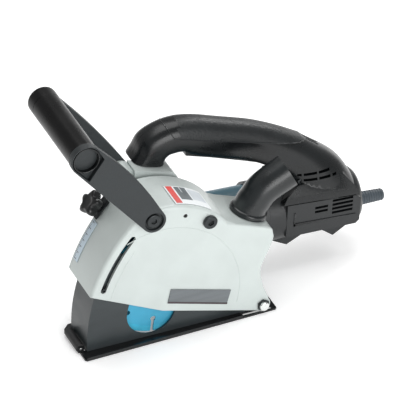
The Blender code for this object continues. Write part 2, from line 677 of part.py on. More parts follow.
def trigger_group():
    """Switch lever hinged near its rear end, and the switch that it presses."""
    lever = node("switch_lever", side_prism(trigger_outline(), MOTOR_Y - 13, MOTOR_Y + 13),
                 "black_plastic", (TRIGGER_PIVOT[0], MOTOR_Y, TRIGGER_PIVOT[1]))
    combine(lever, "UNION", cylinder(*TRIGGER_PIVOT, MOTOR_Y - 16, MOTOR_Y + 16, 2.0, 14))
    node("switch", box((-33, MOTOR_Y - 9, 162.0), (-7, MOTOR_Y + 9, 175.7)), "carbon")


def front_grip():
    """U-shaped front grip: a tube between two flat arms, bolted at each side of the machine."""
    x, z = GRIP_TUBE
    near, far = GRIP_SIDES
    start = near + ARM_THICKNESS + GAP
    length = FAR_ARM - GAP - start
    profile = [(0, GRIP_RADIUS - 0.8), (0.8, GRIP_RADIUS), (length - 0.8, GRIP_RADIUS),
               (length, GRIP_RADIUS - 0.8)]
    node("front_grip_tube", turned((x, start, z), (0, 1, 0), profile, 32), "black_plastic")
    cap_start = FAR_ARM + ARM_THICKNESS + GAP
    reach = far - cap_start
    cap = [(0, GRIP_RADIUS), (reach - 3.2, GRIP_RADIUS), (reach - 1, GRIP_RADIUS - 1.2),
           (reach, GRIP_RADIUS - 3.6)]
    node("front_grip_cap", turned((x, cap_start, z), (0, 1, 0), cap, 32), "black_plastic")
    along = (Vector(GRIP_TUBE) - Vector(GRIP_BOLT)).normalized()
    rearward = Vector((along.y, -along.x))
    middle = (Vector(GRIP_BOLT) + Vector(GRIP_TUBE)) / 2
    tilt = math.degrees(math.atan2(along.y, -along.x))
    for name, low, waist, end in (("near", near, 20.0, GRIP_RADIUS + 1),
                                  ("far", FAR_ARM, 17.0, GRIP_RADIUS)):
        outline = arc(13.2, tilt - 90, tilt - 270, 10, GRIP_BOLT)
        outline.append(tuple(middle + rearward * waist))
        outline += arc(end, tilt + 90, tilt - 90, 10, GRIP_TUBE)
        arm = node(f"{name}_grip_arm", side_prism(outline, low, low + ARM_THICKNESS),
                   "black_plastic")
        outer = low - 1 if name == "near" else low + ARM_THICKNESS - 3.5
        recess = cylinder(*GRIP_BOLT, outer, outer + 4.5, 10.8, 24)
        hole = cylinder(*GRIP_BOLT, low - 2, low + 12, 3.6, 16)
        combine(arm, "DIFFERENCE", recess, hole)
    for name, start, way in (("near", near + 0.4, 1), ("far", FAR_ARM + ARM_THICKNESS - 0.4, -1)):
        profile = [(0, 7.0), (0.6, 7.8), (2.8, 7.8), (2.8, 2.9), (13, 2.9)]
        bolt = turned((GRIP_BOLT[0], start, GRIP_BOLT[1]), (0, way, 0), profile, 24)
        bolt = node(f"{name}_grip_bolt", bolt, "dark_bolt")
        combine(bolt, "DIFFERENCE", turned((GRIP_BOLT[0], start - way, GRIP_BOLT[1]), (0, way, 0),
                                           [(0, 3.4), (3.0, 3.4)], 6))


def build():
    for old in list(bpy.data.objects):
        bpy.data.objects.remove(old)
    for make in (
        base_plate, inner_guard, guide_pin, pivot_pieces, rollers, blade_case, case_back,
        face_fittings, depth_stop, dust_nozzle, gear_housing, spindle_group, shaft_lock,
        armature_group, motor_shells, cord_guard, handle_halves, trigger_group, front_grip,
    ):
        make()


build()
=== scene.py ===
import math

import bmesh
import bpy
from mathutils import Matrix, Vector


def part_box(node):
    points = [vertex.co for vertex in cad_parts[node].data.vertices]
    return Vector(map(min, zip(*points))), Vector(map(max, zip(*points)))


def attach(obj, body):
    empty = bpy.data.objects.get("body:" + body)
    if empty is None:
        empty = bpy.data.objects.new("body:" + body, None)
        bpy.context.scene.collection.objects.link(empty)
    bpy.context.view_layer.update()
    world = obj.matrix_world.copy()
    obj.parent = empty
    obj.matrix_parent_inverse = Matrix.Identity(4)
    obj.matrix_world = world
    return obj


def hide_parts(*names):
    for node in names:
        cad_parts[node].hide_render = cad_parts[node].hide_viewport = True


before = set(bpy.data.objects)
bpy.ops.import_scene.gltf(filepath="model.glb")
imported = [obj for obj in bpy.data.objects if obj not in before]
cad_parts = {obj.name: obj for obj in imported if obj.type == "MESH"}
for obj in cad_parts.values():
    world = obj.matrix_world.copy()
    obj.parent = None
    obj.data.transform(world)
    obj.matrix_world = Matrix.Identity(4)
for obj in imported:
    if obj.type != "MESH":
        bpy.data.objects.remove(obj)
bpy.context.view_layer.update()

# ---------------------------------------------------------------- sole and rollers
# Pressed steel plate, black enamelled after pressing, with folded rims along its edges.
# Two moulded rollers on plain pins keep it just off the wall.

pivot_low, pivot_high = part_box("pivot_bolt")
case_low, case_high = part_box("blade_case")
PIVOT_X = (pivot_low[0] + pivot_high[0]) / 2
PIVOT_Z = (pivot_low[2] + pivot_high[2]) / 2
NEAR_FACE = case_low[1]


def at(x, y, z):
    """A place given in millimetres behind, across and above the pivot, in metres of the frame."""
    return Vector((PIVOT_X + x / 1000, NEAR_FACE + y / 1000, PIVOT_Z + z / 1000))


def finish(name, colour, rough, metal=0.0, grain=0.0, grain_size=0.0006, mottle=0.08,
           stretch=(1, 1, 1), coat=0.0, wear=0.0, shine=0.5):
    """A paint, plastic or metal: tone that drifts over the piece, uneven gloss and fine grain."""
    made = bpy.data.materials.new(name)
    made.use_nodes = True
    nodes, links = made.node_tree.nodes, made.node_tree.links
    shader = nodes["Principled BSDF"]
    shader.inputs["Metallic"].default_value = metal
    shader.inputs["Specular IOR Level"].default_value = shine
    shader.inputs["Coat Weight"].default_value = coat
    shader.inputs["Coat Roughness"].default_value = 0.25
    place = nodes.new("ShaderNodeTexCoord")
    turn = nodes.new("ShaderNodeMapping")
    turn.inputs["Scale"].default_value = stretch
    links.new(place.outputs["Object"], turn.inputs["Vector"])
    drift = nodes.new("ShaderNodeTexNoise")
    drift.inputs["Scale"].default_value = 38
    drift.inputs["Detail"].default_value = 5
    links.new(turn.outputs["Vector"], drift.inputs["Vector"])
    tone = nodes.new("ShaderNodeValToRGB")
    tone.color_ramp.elements[0].position = 0.3
    tone.color_ramp.elements[1].position = 0.7
    tone.color_ramp.elements[0].color = (*[c * (1 - mottle) for c in colour], 1)
    tone.color_ramp.elements[1].color = (*[min(1, c * (1 + mottle) + wear) for c in colour], 1)
    links.new(drift.outputs["Fac"], tone.inputs["Fac"])
    links.new(tone.outputs["Color"], shader.inputs["Base Color"])
    gloss = nodes.new("ShaderNodeMapRange")
    gloss.inputs["From Min"].default_value = 0.25
    gloss.inputs["From Max"].default_value = 0.75
    gloss.inputs["To Min"].default_value = rough * 0.85
    gloss.inputs["To Max"].default_value = min(1, rough * 1.18)
    links.new(drift.outputs["Fac"], gloss.inputs["Value"])
    links.new(gloss.outputs["Result"], shader.inputs["Roughness"])
    if grain:
        pits = nodes.new("ShaderNodeTexNoise")
        pits.inputs["Scale"].default_value = 1 / grain_size
        pits.inputs["Detail"].default_value = 3
        links.new(turn.outputs["Vector"], pits.inputs["Vector"])
        bump = nodes.new("ShaderNodeBump")
        bump.inputs["Strength"].default_value = grain
        bump.inputs["Distance"].default_value = grain_size * 0.5
        links.new(pits.outputs["Fac"], bump.inputs["Height"])
        links.new(bump.outputs["Normal"], shader.inputs["Normal"])
    return made


def settled(thing):
    """The object's mesh with all its modifiers worked in."""
    bpy.context.view_layer.update()
    graph = bpy.context.evaluated_depsgraph_get()
    return bpy.data.meshes.new_from_object(thing.evaluated_get(graph))


def blank(name, mesh):
    """A loose object for a bmesh or a mesh, in the scene but not yet a piece."""
    if isinstance(mesh, bmesh.types.BMesh):
        bmesh.ops.remove_doubles(mesh, verts=mesh.verts, dist=1e-6)
        bmesh.ops.recalc_face_normals(mesh, faces=mesh.faces)
        if mesh.calc_volume(signed=True) < 0:
            bmesh.ops.reverse_faces(mesh, faces=mesh.faces)
        data = bpy.data.meshes.new(name)
        mesh.to_mesh(data)
        mesh.free()
        mesh = data
    made = bpy.data.objects.new(name, mesh)
    bpy.context.scene.collection.objects.link(made)
    return made


def carved(base, cutters=(), added=()):
    """The base with each added shape joined on and each cutter taken away."""
    solid = blank("stock", base)
    tools = [(blank("added", shape), "UNION") for shape in added]
    tools += [(blank("cutter", shape), "DIFFERENCE") for shape in cutters]
    for tool, operation in tools:
        change = solid.modifiers.new("change", "BOOLEAN")
        change.operation = operation
        change.solver = "EXACT"
        change.object = tool
    mesh = settled(solid)
    for gone in [solid] + [tool for tool, _ in tools]:
        bpy.data.objects.remove(gone)
    return mesh


def piece(name, mesh, body, material, stands_for=(), edge=0.0, steps=2, angle=35):
    """Finishes a mesh as one named piece: worn-round edges, smooth faces, its material and body."""
    made = blank(name, mesh)
    if edge:
        rounding = made.modifiers.new("edge", "BEVEL")
        rounding.width = edge / 1000
        rounding.segments = steps
        rounding.limit_method = "ANGLE"
        rounding.angle_limit = math.radians(angle)
        made.data = settled(made)
        made.modifiers.clear()
    made.data.name = name
    made.data.materials.clear()
    made.data.materials.append(material)
    made.data.polygons.foreach_set("material_index", [0] * len(made.data.polygons))
    made.data.shade_smooth()
    made.data.set_sharp_from_angle(angle=math.radians(angle))
    even = made.modifiers.new("even", "WEIGHTED_NORMAL")
    even.keep_sharp = True
    made.data = settled(made)
    made.modifiers.clear()
    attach(made, body)
    if stands_for:
        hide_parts(*stands_for)
    return made


def refined(node, body, material, edge=0.35, steps=2, angle=35):
    """A CAD piece taken over with its triangles merged, its edges rounded and its faces smooth."""
    mesh = bmesh.new()
    mesh.from_mesh(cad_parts[node].data)
    bmesh.ops.remove_doubles(mesh, verts=mesh.verts, dist=2e-6)
    bmesh.ops.dissolve_limit(mesh, angle_limit=math.radians(0.6), verts=mesh.verts, edges=mesh.edges)
    data = bpy.data.meshes.new(node)
    mesh.to_mesh(data)
    mesh.free()
    return piece("fine_" + node, data, body, material, (node,), edge, steps, angle)


enamel = finish("black_enamel", (0.005, 0.006, 0.007), 0.32, grain=0.12, grain_size=0.0016, mottle=0.25,
                coat=0.2, shine=0.35)
zinc = finish("bright_zinc", (0.78, 0.79, 0.78), 0.22, metal=1.0, grain=0.08, grain_size=0.0009)
roller_nylon = finish("roller_nylon", (0.02, 0.02, 0.021), 0.55, grain=0.2)
refined("base_plate", "base", enamel, edge=0.5)
refined("front_roller", "front_wheel_roller", roller_nylon, edge=0.6, steps=3)
refined("rear_roller", "rear_wheel_roller", roller_nylon, edge=0.6, steps=3)
refined("front_roller_axle", "base", zinc, edge=0.3)
refined("rear_roller_axle", "base", zinc, edge=0.3)

# ---------------------------------------------------------------- inner guard and pivot
# Bent steel channel over the lower half of the wheels, painted satin dark grey, spot welded
# to the sole. It swings into the case on the shoulder bolt, against a coil spring.

guard_paint = finish("guard_paint", (0.03, 0.037, 0.04), 0.4, grain=0.1, grain_size=0.0012,
                     mottle=0.12, stretch=(1, 1, 2.5), coat=0.1, shine=0.4)
dark_bolt = finish("burnished_steel", (0.03, 0.034, 0.036), 0.3, metal=0.6, grain=0.1,
                   grain_size=0.0007)
refined("inner_guard", "base", guard_paint, edge=0.45)
refined("guide_pin", "base", dark_bolt, edge=0.3)
refined("pivot_bolt", "base", zinc, edge=0.5, steps=3)
refined("pivot_washer", "base", dark_bolt, edge=0.3)
refined("pivot_nut", "base", dark_bolt, edge=0.4)


def node_tree(name, **inputs):
    """A node tree with these named inputs, each a kind and a value, and its input node."""
    tree = bpy.data.node_groups.new(name, "GeometryNodeTree")
    tree.interface.new_socket(name="Geometry", in_out="OUTPUT", socket_type="NodeSocketGeometry")
    for title, (kind, value) in inputs.items():
        made = tree.interface.new_socket(name=title.replace("_", " ").title(), in_out="INPUT",
                                         socket_type="NodeSocket" + kind)
        if value is not None:
            made.default_value = value
    return tree, tree.nodes.new("NodeGroupInput")


def wired(tree, *pairs):
    """Links each output to the input beside it."""
    for source, target in pairs:
        tree.links.new(source, target)


def grown(name, tree, **sizes):
    """The plain mesh that a node tree makes with these sizes set on its named inputs."""
    host = blank(name, bpy.data.meshes.new(name))
    maker = host.modifiers.new("maker", "NODES")
    maker.node_group = tree
    for item in tree.interface.items_tree:
        if item.in_out == "INPUT" and item.name.replace(" ", "_").lower() in sizes:
            maker[item.identifier] = sizes[item.name.replace(" ", "_").lower()]
    mesh = settled(host)
    bpy.data.objects.remove(host)
    return mesh


def closed_tree(tree, made, given):
    """Ends a tree: copies made real, its material set, then the output."""
    nodes, links = tree.nodes, tree.links
    real = nodes.new("GeometryNodeRealizeInstances")
    paint = nodes.new("GeometryNodeSetMaterial")
    end = nodes.new("NodeGroupOutput")
    links.new(made, real.inputs[0])
    links.new(real.outputs[0], paint.inputs["Geometry"])
    links.new(given.outputs["Finish"], paint.inputs["Material"])
    links.new(paint.outputs[0], end.inputs[0])
    return tree


WIRE_RADIUS = 0.0009
COIL_RADIUS = 0.0054
COIL_TURNS = 4.0
coil_tree, given = node_tree(
    "coil", turns=("Float", COIL_TURNS), mean_radius=("Float", COIL_RADIUS),
    wire_radius=("Float", WIRE_RADIUS), length=("Float", 0.0096), place=("Vector", None),
    finish=("Material", None))
spiral = coil_tree.nodes.new("GeometryNodeCurveSpiral")
spiral.inputs["Resolution"].default_value = 24
wire = coil_tree.nodes.new("GeometryNodeCurvePrimitiveCircle")
wire.inputs["Resolution"].default_value = 10
sweep = coil_tree.nodes.new("GeometryNodeCurveToMesh")
sweep.inputs["Fill Caps"].default_value = True
lay = coil_tree.nodes.new("GeometryNodeTransform")
lay.inputs["Rotation"].default_value = (math.radians(-90), 0, 0)
wired(
    coil_tree,
    (given.outputs["Turns"], spiral.inputs["Rotations"]),
    (given.outputs["Mean Radius"], spiral.inputs["Start Radius"]),
    (given.outputs["Mean Radius"], spiral.inputs["End Radius"]),
    (given.outputs["Length"], spiral.inputs["Height"]),
    (given.outputs["Wire Radius"], wire.inputs["Radius"]),
    (spiral.outputs[0], sweep.inputs["Curve"]),
    (wire.outputs[0], sweep.inputs["Profile Curve"]),
    (sweep.outputs[0], lay.inputs["Geometry"]),
    (given.outputs["Place"], lay.inputs["Translation"]),
)
closed_tree(coil_tree, lay.outputs[0], given)
spring_low, spring_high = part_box("return_spring")
spring_mesh = grown("spring", coil_tree, turns=COIL_TURNS, mean_radius=COIL_RADIUS,
                    wire_radius=WIRE_RADIUS,
                    length=spring_high[1] - spring_low[1] - 2 * WIRE_RADIUS,
                    place=(PIVOT_X, spring_low[1] + WIRE_RADIUS, PIVOT_Z), finish=zinc)
piece("fine_return_spring", spring_mesh, "base", zinc, ("return_spring",))

# ---------------------------------------------------------------- blade case
# Die-cast aluminium cover, painted silver: flat near face, curved front wall and top, and a
# ledge for the dust elbow. Its near edge is drawn with a round, its face carries a raised panel.

CASE_RADIUS = 205.0
TOP_CENTRE = (-115.5, 60.0)
TOP_RADIUS = 94.5
CASE_DEPTH = (case_high[1] - case_low[1]) * 1000
EDGE_ROUND = 4.2
WALL = 3.0
SLOT_RADIUS = 193.0
GRIP_BOLT = (-127.3, 148.4)
CASE_SCREW = (-61.0, 124.0)
SMALL_HOLE = (-88.0, 138.0)


def polar(radius, degrees, centre=(0.0, 0.0)):
    """The side-view point forward of the centre at this angle above the sole."""
    turn = math.radians(degrees)
    return (centre[0] - radius * math.cos(turn), centre[1] + radius * math.sin(turn))


def arc(radius, start, end, steps, centre=(0.0, 0.0)):
    return [polar(radius, start + (end - start) * i / steps, centre) for i in range(steps + 1)]


def loft(rings, ends=True):
    """A skin over rings of points that all have the same count."""
    mesh = bmesh.new()
    made = [[mesh.verts.new(point) for point in ring] for ring in rings]
    count = len(rings[0])
    for first, second in zip(made, made[1:]):
        for i in range(count):
            j = (i + 1) % count
            mesh.faces.new((first[i], first[j], second[j], second[i]))
    if ends:
        mesh.faces.new(made[0][::-1])
        mesh.faces.new(made[-1])
    return mesh


def prism(outline, near, far):
    """A side-view outline carried across the tool."""
    return loft([[at(x, y, z) for x, z in outline] for y in (near, far)])


def turned(start, direction, profile, segments=64, ring=False):
    """A turned shape about an axis: profile of (distance along, radius)."""
    along = Vector(direction).normalized()
    across = Vector((0, 1, 0)) if abs(along.y) < 0.9 else Vector((0, 0, 1))
    across = (across - along * across.dot(along)).normalized()
    up = along.cross(across)
    rings = []
    for distance, radius in profile:
        centre = Vector(start) + along * distance / 1000
        rings.append([
            centre + (across * math.cos(a) + up * math.sin(a)) * radius / 1000
            for a in (2 * math.pi * i / segments for i in range(segments))
        ])
    if ring:
        rings.append(rings[0])
    return loft(rings, ends=not ring)


def rod(x, z, near, far, radius, segments=48):
    return turned(at(x, near, z), (0, 1, 0), [(0, radius), (far - near, radius)], segments)


def drawn_in(outline, amounts):
    """The outline moved inwards by its own amount at each point."""
    made = []
    count = len(outline)
    for i, (x, z) in enumerate(outline):
        before = Vector(outline[i]) - Vector(outline[i - 1])
        after = Vector(outline[(i + 1) % count]) - Vector(outline[i])
        first = Vector((before.y, -before.x)).normalized()
        second = Vector((after.y, -after.x)).normalized()
        mitre = (first + second) / max(0.4, 1 + first.dot(second))
        made.append((x + mitre.x * amounts[i], z + mitre.y * amounts[i]))
    return made


def arc_slot(radius, low, high, half):
    """An arc slot about the pivot with round ends."""
    outline = arc(radius + half, low, high, 24)
    outline += arc(half, high, high + 180, 10, polar(radius, high))[1:]
    outline += arc(radius - half, high, low, 24)[1:]
    outline += arc(half, low + 180, low + 360, 10, polar(radius, low))[1:-1]
    return outline


front = arc(CASE_RADIUS, 18.1, 46.5, 36)
crown = arc(TOP_RADIUS, 78, 144, 40, TOP_CENTRE)
rear = [(-29.7, 110.8), (4, 97.9), (8.6, 95.6), (11, 92.6), (12.4, 84), (10.8, 77), (8, 70),
        (2.4, 58), (-1.4, 49.5), (-2.3, 45), (-1.6, 36), (0.6, 23), (6.6, 7.5)]
foot = arc(8.6, 142, 272, 14) + [(-10.3, -4.8), (-114.4, 24.6)]
outline = front + crown + rear + foot
rounds = [EDGE_ROUND] * len(front + crown) + [2.2] * len(rear) + [1.2] * (len(foot) - 2) + [0.6] * 2
rounds[0] = 1.5
rings = [[at(x, CASE_DEPTH, z) for x, z in outline]]
for step in range(7):
    lift = math.radians(15 * step)
    inset = [r * (1 - math.cos(lift)) for r in rounds]
    depth = [r * (1 - math.sin(lift)) for r in rounds]
    ring = drawn_in(outline, inset)
    rings.append([at(x, d, z) for (x, z), d in zip(ring, depth)])
hollow = arc(CASE_RADIUS - WALL - 0.5, 8, 46.5, 36)
hollow += arc(TOP_RADIUS - WALL - 0.5, 79, 144, 30, TOP_CENTRE)
hollow += [(-31.1, 107.3), (7.5, 91.7), (8.9, 84), (4.5, 70), (-5.8, 47.5), (-6.5, 24), (-2, 14),
           (-2, -12), (-190, -12)]
slope = Vector((40.7, 0, -15.6)).normalized()
LEDGE = Vector((-slope.z, 0, slope.x))
case_mesh = carved(loft(rings), [
    prism(hollow, WALL, CASE_DEPTH + 2),
    rod(0, 0, WALL, CASE_DEPTH + 2, 11.6),
    prism(arc_slot(SLOT_RADIUS, 20.8, 40.4, 3.1), -2, 6),
    rod(0, 0, -2, 6, 3.8, 24),
    turned(at(-9.8, 28, 91.5), LEDGE, [(0, 15.0), (30, 15.0)], 48),
    rod(*GRIP_BOLT, -2, 6, 3.3, 24),
    rod(*CASE_SCREW, -2, 6, 3.3, 24),
    rod(*SMALL_HOLE, -2, 1.8, 2.4, 24),
])
silver = finish("silver_paint", (0.53, 0.58, 0.565), 0.42, metal=0.15, grain=0.1, grain_size=0.0012,
                mottle=0.035, coat=0.25)
case_cover = piece("case_cover", case_mesh, "machine", silver, ("blade_case",), edge=0.45)
back_plate = refined("case_back", "machine", silver, edge=0.8, steps=3)
# Near-black finish used as painted shade on the inside faces of the case.
dusty_black = finish("dusty_black", (0.006, 0.0065, 0.007), 0.9, grain=0.4, mottle=0.4, shine=0.1)


def repainted(made, material, chosen):
    """Gives a second finish to the faces that chosen picks by their centre and normal."""
    made.data.materials.append(material)
    for face in made.data.polygons:
        if chosen(face.center, face.normal):
            face.material_index = 1


# Painted shade: the faces inside the case, on the cover and on the back plate, are painted near-black as
# if in shadow.
middle_of_case = at(-105, CASE_DEPTH / 2, 45)
repainted(back_plate, dusty_black, lambda centre, normal: (
    normal.y < -0.9 and centre.y < NEAR_FACE + (CASE_DEPTH + 1) / 1000))
repainted(case_cover, dusty_black, lambda centre, normal: (
    (middle_of_case - centre).dot(normal) > 0 and centre.y > NEAR_FACE + (WALL - 0.1) / 1000))

# The raised panel of the face: a low ridge about the wheels and a second one beside the slot.
ridge = arc(91.0, 66, 196, 60, (-117.0, 37.0)) + arc(90.1, 196, 66, 60, (-117.0, 37.0))
piece("panel_ridge", prism(ridge, -0.28, 0.3), "machine", silver, edge=0.2)
inner_ridge = arc(181.5, 18.0, 37, 36) + arc(180.7, 37, 18.0, 36)
piece("slot_ridge", prism(inner_ridge, -0.22, 0.3), "machine", silver, edge=0.2)
# Painted shade: a near-black disc sits at the bottom of the small blind hole so that it reads dark.
shadow = finish("deep_black", (0.004, 0.004, 0.005), 0.8, grain=0.3)
shade_disc_mesh = rod(*SMALL_HOLE, 1.2, 1.7, 2.35, 24)
piece("small_hole_floor", shade_disc_mesh, "machine", shadow)

# ---------------------------------------------------------------- case fittings
# Black socket screw, the blank rating plates, and the depth scale with its stamped ticks.

refined("case_screw", "machine", dark_bolt, edge=0.4, steps=3)
plate_grey = finish("brushed_plate", (0.15, 0.165, 0.175), 0.36, metal=0.3, grain=0.2,
                    grain_size=0.0009, mottle=0.12, stretch=(0.2, 1, 6))
refined("name_plate", "machine", plate_grey, edge=0.25)
dark_ink = finish("dark_ink", (0.045, 0.03, 0.035), 0.4, grain=0.1)
band = [(-108.45, 35.0), (-109.0, 33.0), (-42.0, 13.0), (-41.6, 15.0)]
piece("name_plate_band", prism([(x + 0.4, z + 0.25) for x, z in band], -1.22, -1.12), "machine",
      dark_ink)
label_white = finish("label_white", (0.74, 0.77, 0.78), 0.45, grain=0.08, mottle=0.03)
refined("top_plate", "machine", label_white, edge=0.15)


def patch(name, low, high, near, far, material):
    """A printed field on the curved top plate."""
    rings = []
    for height in (0.0, INK):
        edge = arc(PLATE_RADIUS + height, low, high, 10, TOP_CENTRE)
        rings.append([at(x, near, z) for x, z in edge] + [at(x, far, z) for x, z in edge[::-1]])
    return piece(name, loft(rings), "machine", material)


PLATE_RADIUS = 95.64
INK = 0.06
red_ink = finish("red_ink", (0.62, 0.06, 0.05), 0.4, grain=0.08, mottle=0.1)
grey_ink = finish("grey_ink", (0.1, 0.12, 0.13), 0.4, grain=0.08, mottle=0.35)
patch("label_red_field", 102.0, 106.2, 4.8, 37.2, red_ink)
patch("label_grey_field", 107.4, 115.5, 12.0, 36.2, grey_ink)
patch("label_pale_field", 116.5, 126.8, 14.0, 34.0,
      finish("pale_ink", (0.5, 0.54, 0.57), 0.42, grain=0.08, mottle=0.25))

tick_tree, given = node_tree(
    "arc_ticks", count=("Int", 12), radius=("Float", 0.2), start=("Float", None),
    sweep=("Float", None), tick_size=("Vector", None), place=("Vector", None),
    finish=("Material", None))
bow = tick_tree.nodes.new("GeometryNodeCurveArc")
bow.inputs["Resolution"].default_value = 64
spots = tick_tree.nodes.new("GeometryNodeCurveToPoints")
tick = tick_tree.nodes.new("GeometryNodeMeshCube")
copies = tick_tree.nodes.new("GeometryNodeInstanceOnPoints")
lay = tick_tree.nodes.new("GeometryNodeTransform")
lay.inputs["Rotation"].default_value = (math.radians(90), 0, 0)
wired(
    tick_tree,
    (given.outputs["Radius"], bow.inputs["Radius"]),
    (given.outputs["Start"], bow.inputs["Start Angle"]),
    (given.outputs["Sweep"], bow.inputs["Sweep Angle"]),
    (bow.outputs[0], spots.inputs["Curve"]),
    (given.outputs["Count"], spots.inputs["Count"]),
    (spots.outputs["Points"], copies.inputs["Points"]),
    (spots.outputs["Rotation"], copies.inputs["Rotation"]),
    (given.outputs["Tick Size"], tick.inputs["Size"]),
    (tick.outputs[0], copies.inputs["Instance"]),
    (copies.outputs[0], lay.inputs["Geometry"]),
    (given.outputs["Place"], lay.inputs["Translation"]),
)
closed_tree(tick_tree, lay.outputs[0], given)

scale_blue = finish("scale_blue", (0.55, 0.66, 0.74), 0.35, grain=0.06, mottle=0.05)
refined("depth_scale", "machine", scale_blue, edge=0.15)
for label, count, width, across in (("long", 7, 5.0, 54.2), ("short", 25, 2.2, 55.6)):
    ticks = grown(f"{label}_ticks", tick_tree, count=count, radius=0.2059 + 0.00002,
                  start=math.radians(180 - 35.0), sweep=math.radians(12.5),
                  tick_size=(0.0001, width / 1000, 0.0007 if label == "long" else 0.0004),
                  place=tuple(at(0, across, 0)), finish=dark_ink)
    piece(f"{label}_scale_ticks", ticks, "machine", dark_ink)

# ---------------------------------------------------------------- depth stop
# Pressed steel slider on the back plate, clamped by a moulded star knob.

refined("depth_stop_slider", "depth_stop", dark_bolt, edge=0.4)
star_black = finish("star_knob_black", (0.004, 0.0045, 0.005), 0.28, grain=0.14, grain_size=0.0009,
                    mottle=0.15)
STOP_DEGREES = 39.5
LOBES = 5
knob_x, knob_z = polar(208.6, STOP_DEGREES)
knob_foot = at(knob_x, 57.5, knob_z)
stop_turn = math.radians(STOP_DEGREES)
along, across = Vector((-math.cos(stop_turn), 0, math.sin(stop_turn))), Vector((0, 1, 0))
up = along.cross(across)
knob_profile = ((0, 5.6, 0), (4.6, 6.0, 0), (5.2, 9.5, 0.05), (6.2, 11.9, 0.16), (8, 12.6, 0.19),
                (12.5, 12.9, 0.19), (15.2, 12.4, 0.18), (16.5, 11.0, 0.15), (17, 8.5, 0.06),
                (16.2, 6.4, 0), (16.0, 3.0, 0))
knob_rings = [
    [knob_foot + along * height / 1000 + (across * math.cos(a) + up * math.sin(a))
     * reach / 1000 * (0.93 + lobe * math.cos(LOBES * a))
     for a in (2 * math.pi * i / 120 for i in range(120))]
    for height, reach, lobe in knob_profile
]
piece("star_knob", loft(knob_rings), "clamp_knob", star_black,
      ("depth_stop_knob",), angle=50)

# ---------------------------------------------------------------- diamond wheels and spindle
# Two steel discs painted blue, slotted from the rim with a round end to each slot, and a
# sintered abrasive rim. A spacer holds them apart; flange and lock nut clamp them.

wheel_blue = finish("wheel_blue", (0.045, 0.34, 0.52), 0.36, metal=0.1, grain=0.12, grain_size=0.001,
                    mottle=0.12)
abrasive = finish("abrasive_rim", (0.045, 0.36, 0.52), 0.75, metal=0.1, grain=0.9, grain_size=0.0008,
                  mottle=0.3)
spindle_low, spindle_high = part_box("spindle")
SPINDLE = ((spindle_low[0] + spindle_high[0]) / 2 - PIVOT_X) * 1000, (
    (spindle_low[2] + spindle_high[2]) / 2 - PIVOT_Z) * 1000
SLOTS = 9
SLOT_TURN = -97.6
RIM = 55.6

rim_tree, given = node_tree(
    "abrasive_segments", count=("Int", SLOTS), radius=("Float", 0.059), start=("Float", None),
    sweep=("Float", None), height=("Float", 0.007), thickness=("Float", 0.0022),
    place=("Vector", None), finish=("Material", None))
bow = rim_tree.nodes.new("GeometryNodeCurveArc")
bow.inputs["Resolution"].default_value = 14
section = rim_tree.nodes.new("GeometryNodeCurvePrimitiveQuadrilateral")
sweep = rim_tree.nodes.new("GeometryNodeCurveToMesh")
sweep.inputs["Fill Caps"].default_value = True
spots = rim_tree.nodes.new("GeometryNodePoints")
number = rim_tree.nodes.new("GeometryNodeInputIndex")
share = rim_tree.nodes.new("ShaderNodeMath")
share.operation = "DIVIDE"
full = rim_tree.nodes.new("ShaderNodeMath")
full.operation = "MULTIPLY"
full.inputs[1].default_value = 2 * math.pi
spin = rim_tree.nodes.new("ShaderNodeCombineXYZ")
copies = rim_tree.nodes.new("GeometryNodeInstanceOnPoints")
lay = rim_tree.nodes.new("GeometryNodeTransform")
lay.inputs["Rotation"].default_value = (math.radians(90), 0, 0)
wired(
    rim_tree,
    (given.outputs["Radius"], bow.inputs["Radius"]),
    (given.outputs["Start"], bow.inputs["Start Angle"]),
    (given.outputs["Sweep"], bow.inputs["Sweep Angle"]),
    (given.outputs["Height"], section.inputs["Width"]),
    (given.outputs["Thickness"], section.inputs["Height"]),
    (bow.outputs[0], sweep.inputs["Curve"]),
    (section.outputs[0], sweep.inputs["Profile Curve"]),
    (given.outputs["Count"], spots.inputs["Count"]),
    (number.outputs[0], share.inputs[0]),
    (given.outputs["Count"], share.inputs[1]),
    (share.outputs[0], full.inputs[0]),
    (full.outputs[0], spin.inputs["Z"]),
    (spots.outputs[0], copies.inputs["Points"]),
    (sweep.outputs[0], copies.inputs["Instance"]),
    (spin.outputs[0], copies.inputs["Rotation"]),
    (copies.outputs[0], lay.inputs["Geometry"]),
    (given.outputs["Place"], lay.inputs["Translation"]),
)
closed_tree(rim_tree, lay.outputs[0], given)


def wheel_disc(near, far):
    """The disc of one wheel, with its slots open to the rim."""
    edge = []
    half = 1.5
    for k in range(SLOTS):
        turn = SLOT_TURN + 360 * k / SLOTS
        mouth = math.degrees(half / RIM)
        root = Vector((math.cos(math.radians(turn)), math.sin(math.radians(turn)))) * 47.5
        for j in range(9):
            a = math.radians(turn + 150 - 300 * j / 8 + 180)
            edge.append((root.x + 3.0 * math.cos(a), root.y + 3.0 * math.sin(a)))
        for j in range(13):
            a = math.radians(turn + mouth + (360 / SLOTS - 2 * mouth) * j / 12)
            edge.append((RIM * math.cos(a), RIM * math.sin(a)))
    outline = [(SPINDLE[0] + x, SPINDLE[1] + z) for x, z in edge]
    bore = rod(*SPINDLE, near - 1, far + 1, 8.2, 40)
    return carved(prism(outline, near + 0.25, far - 0.25), [bore])


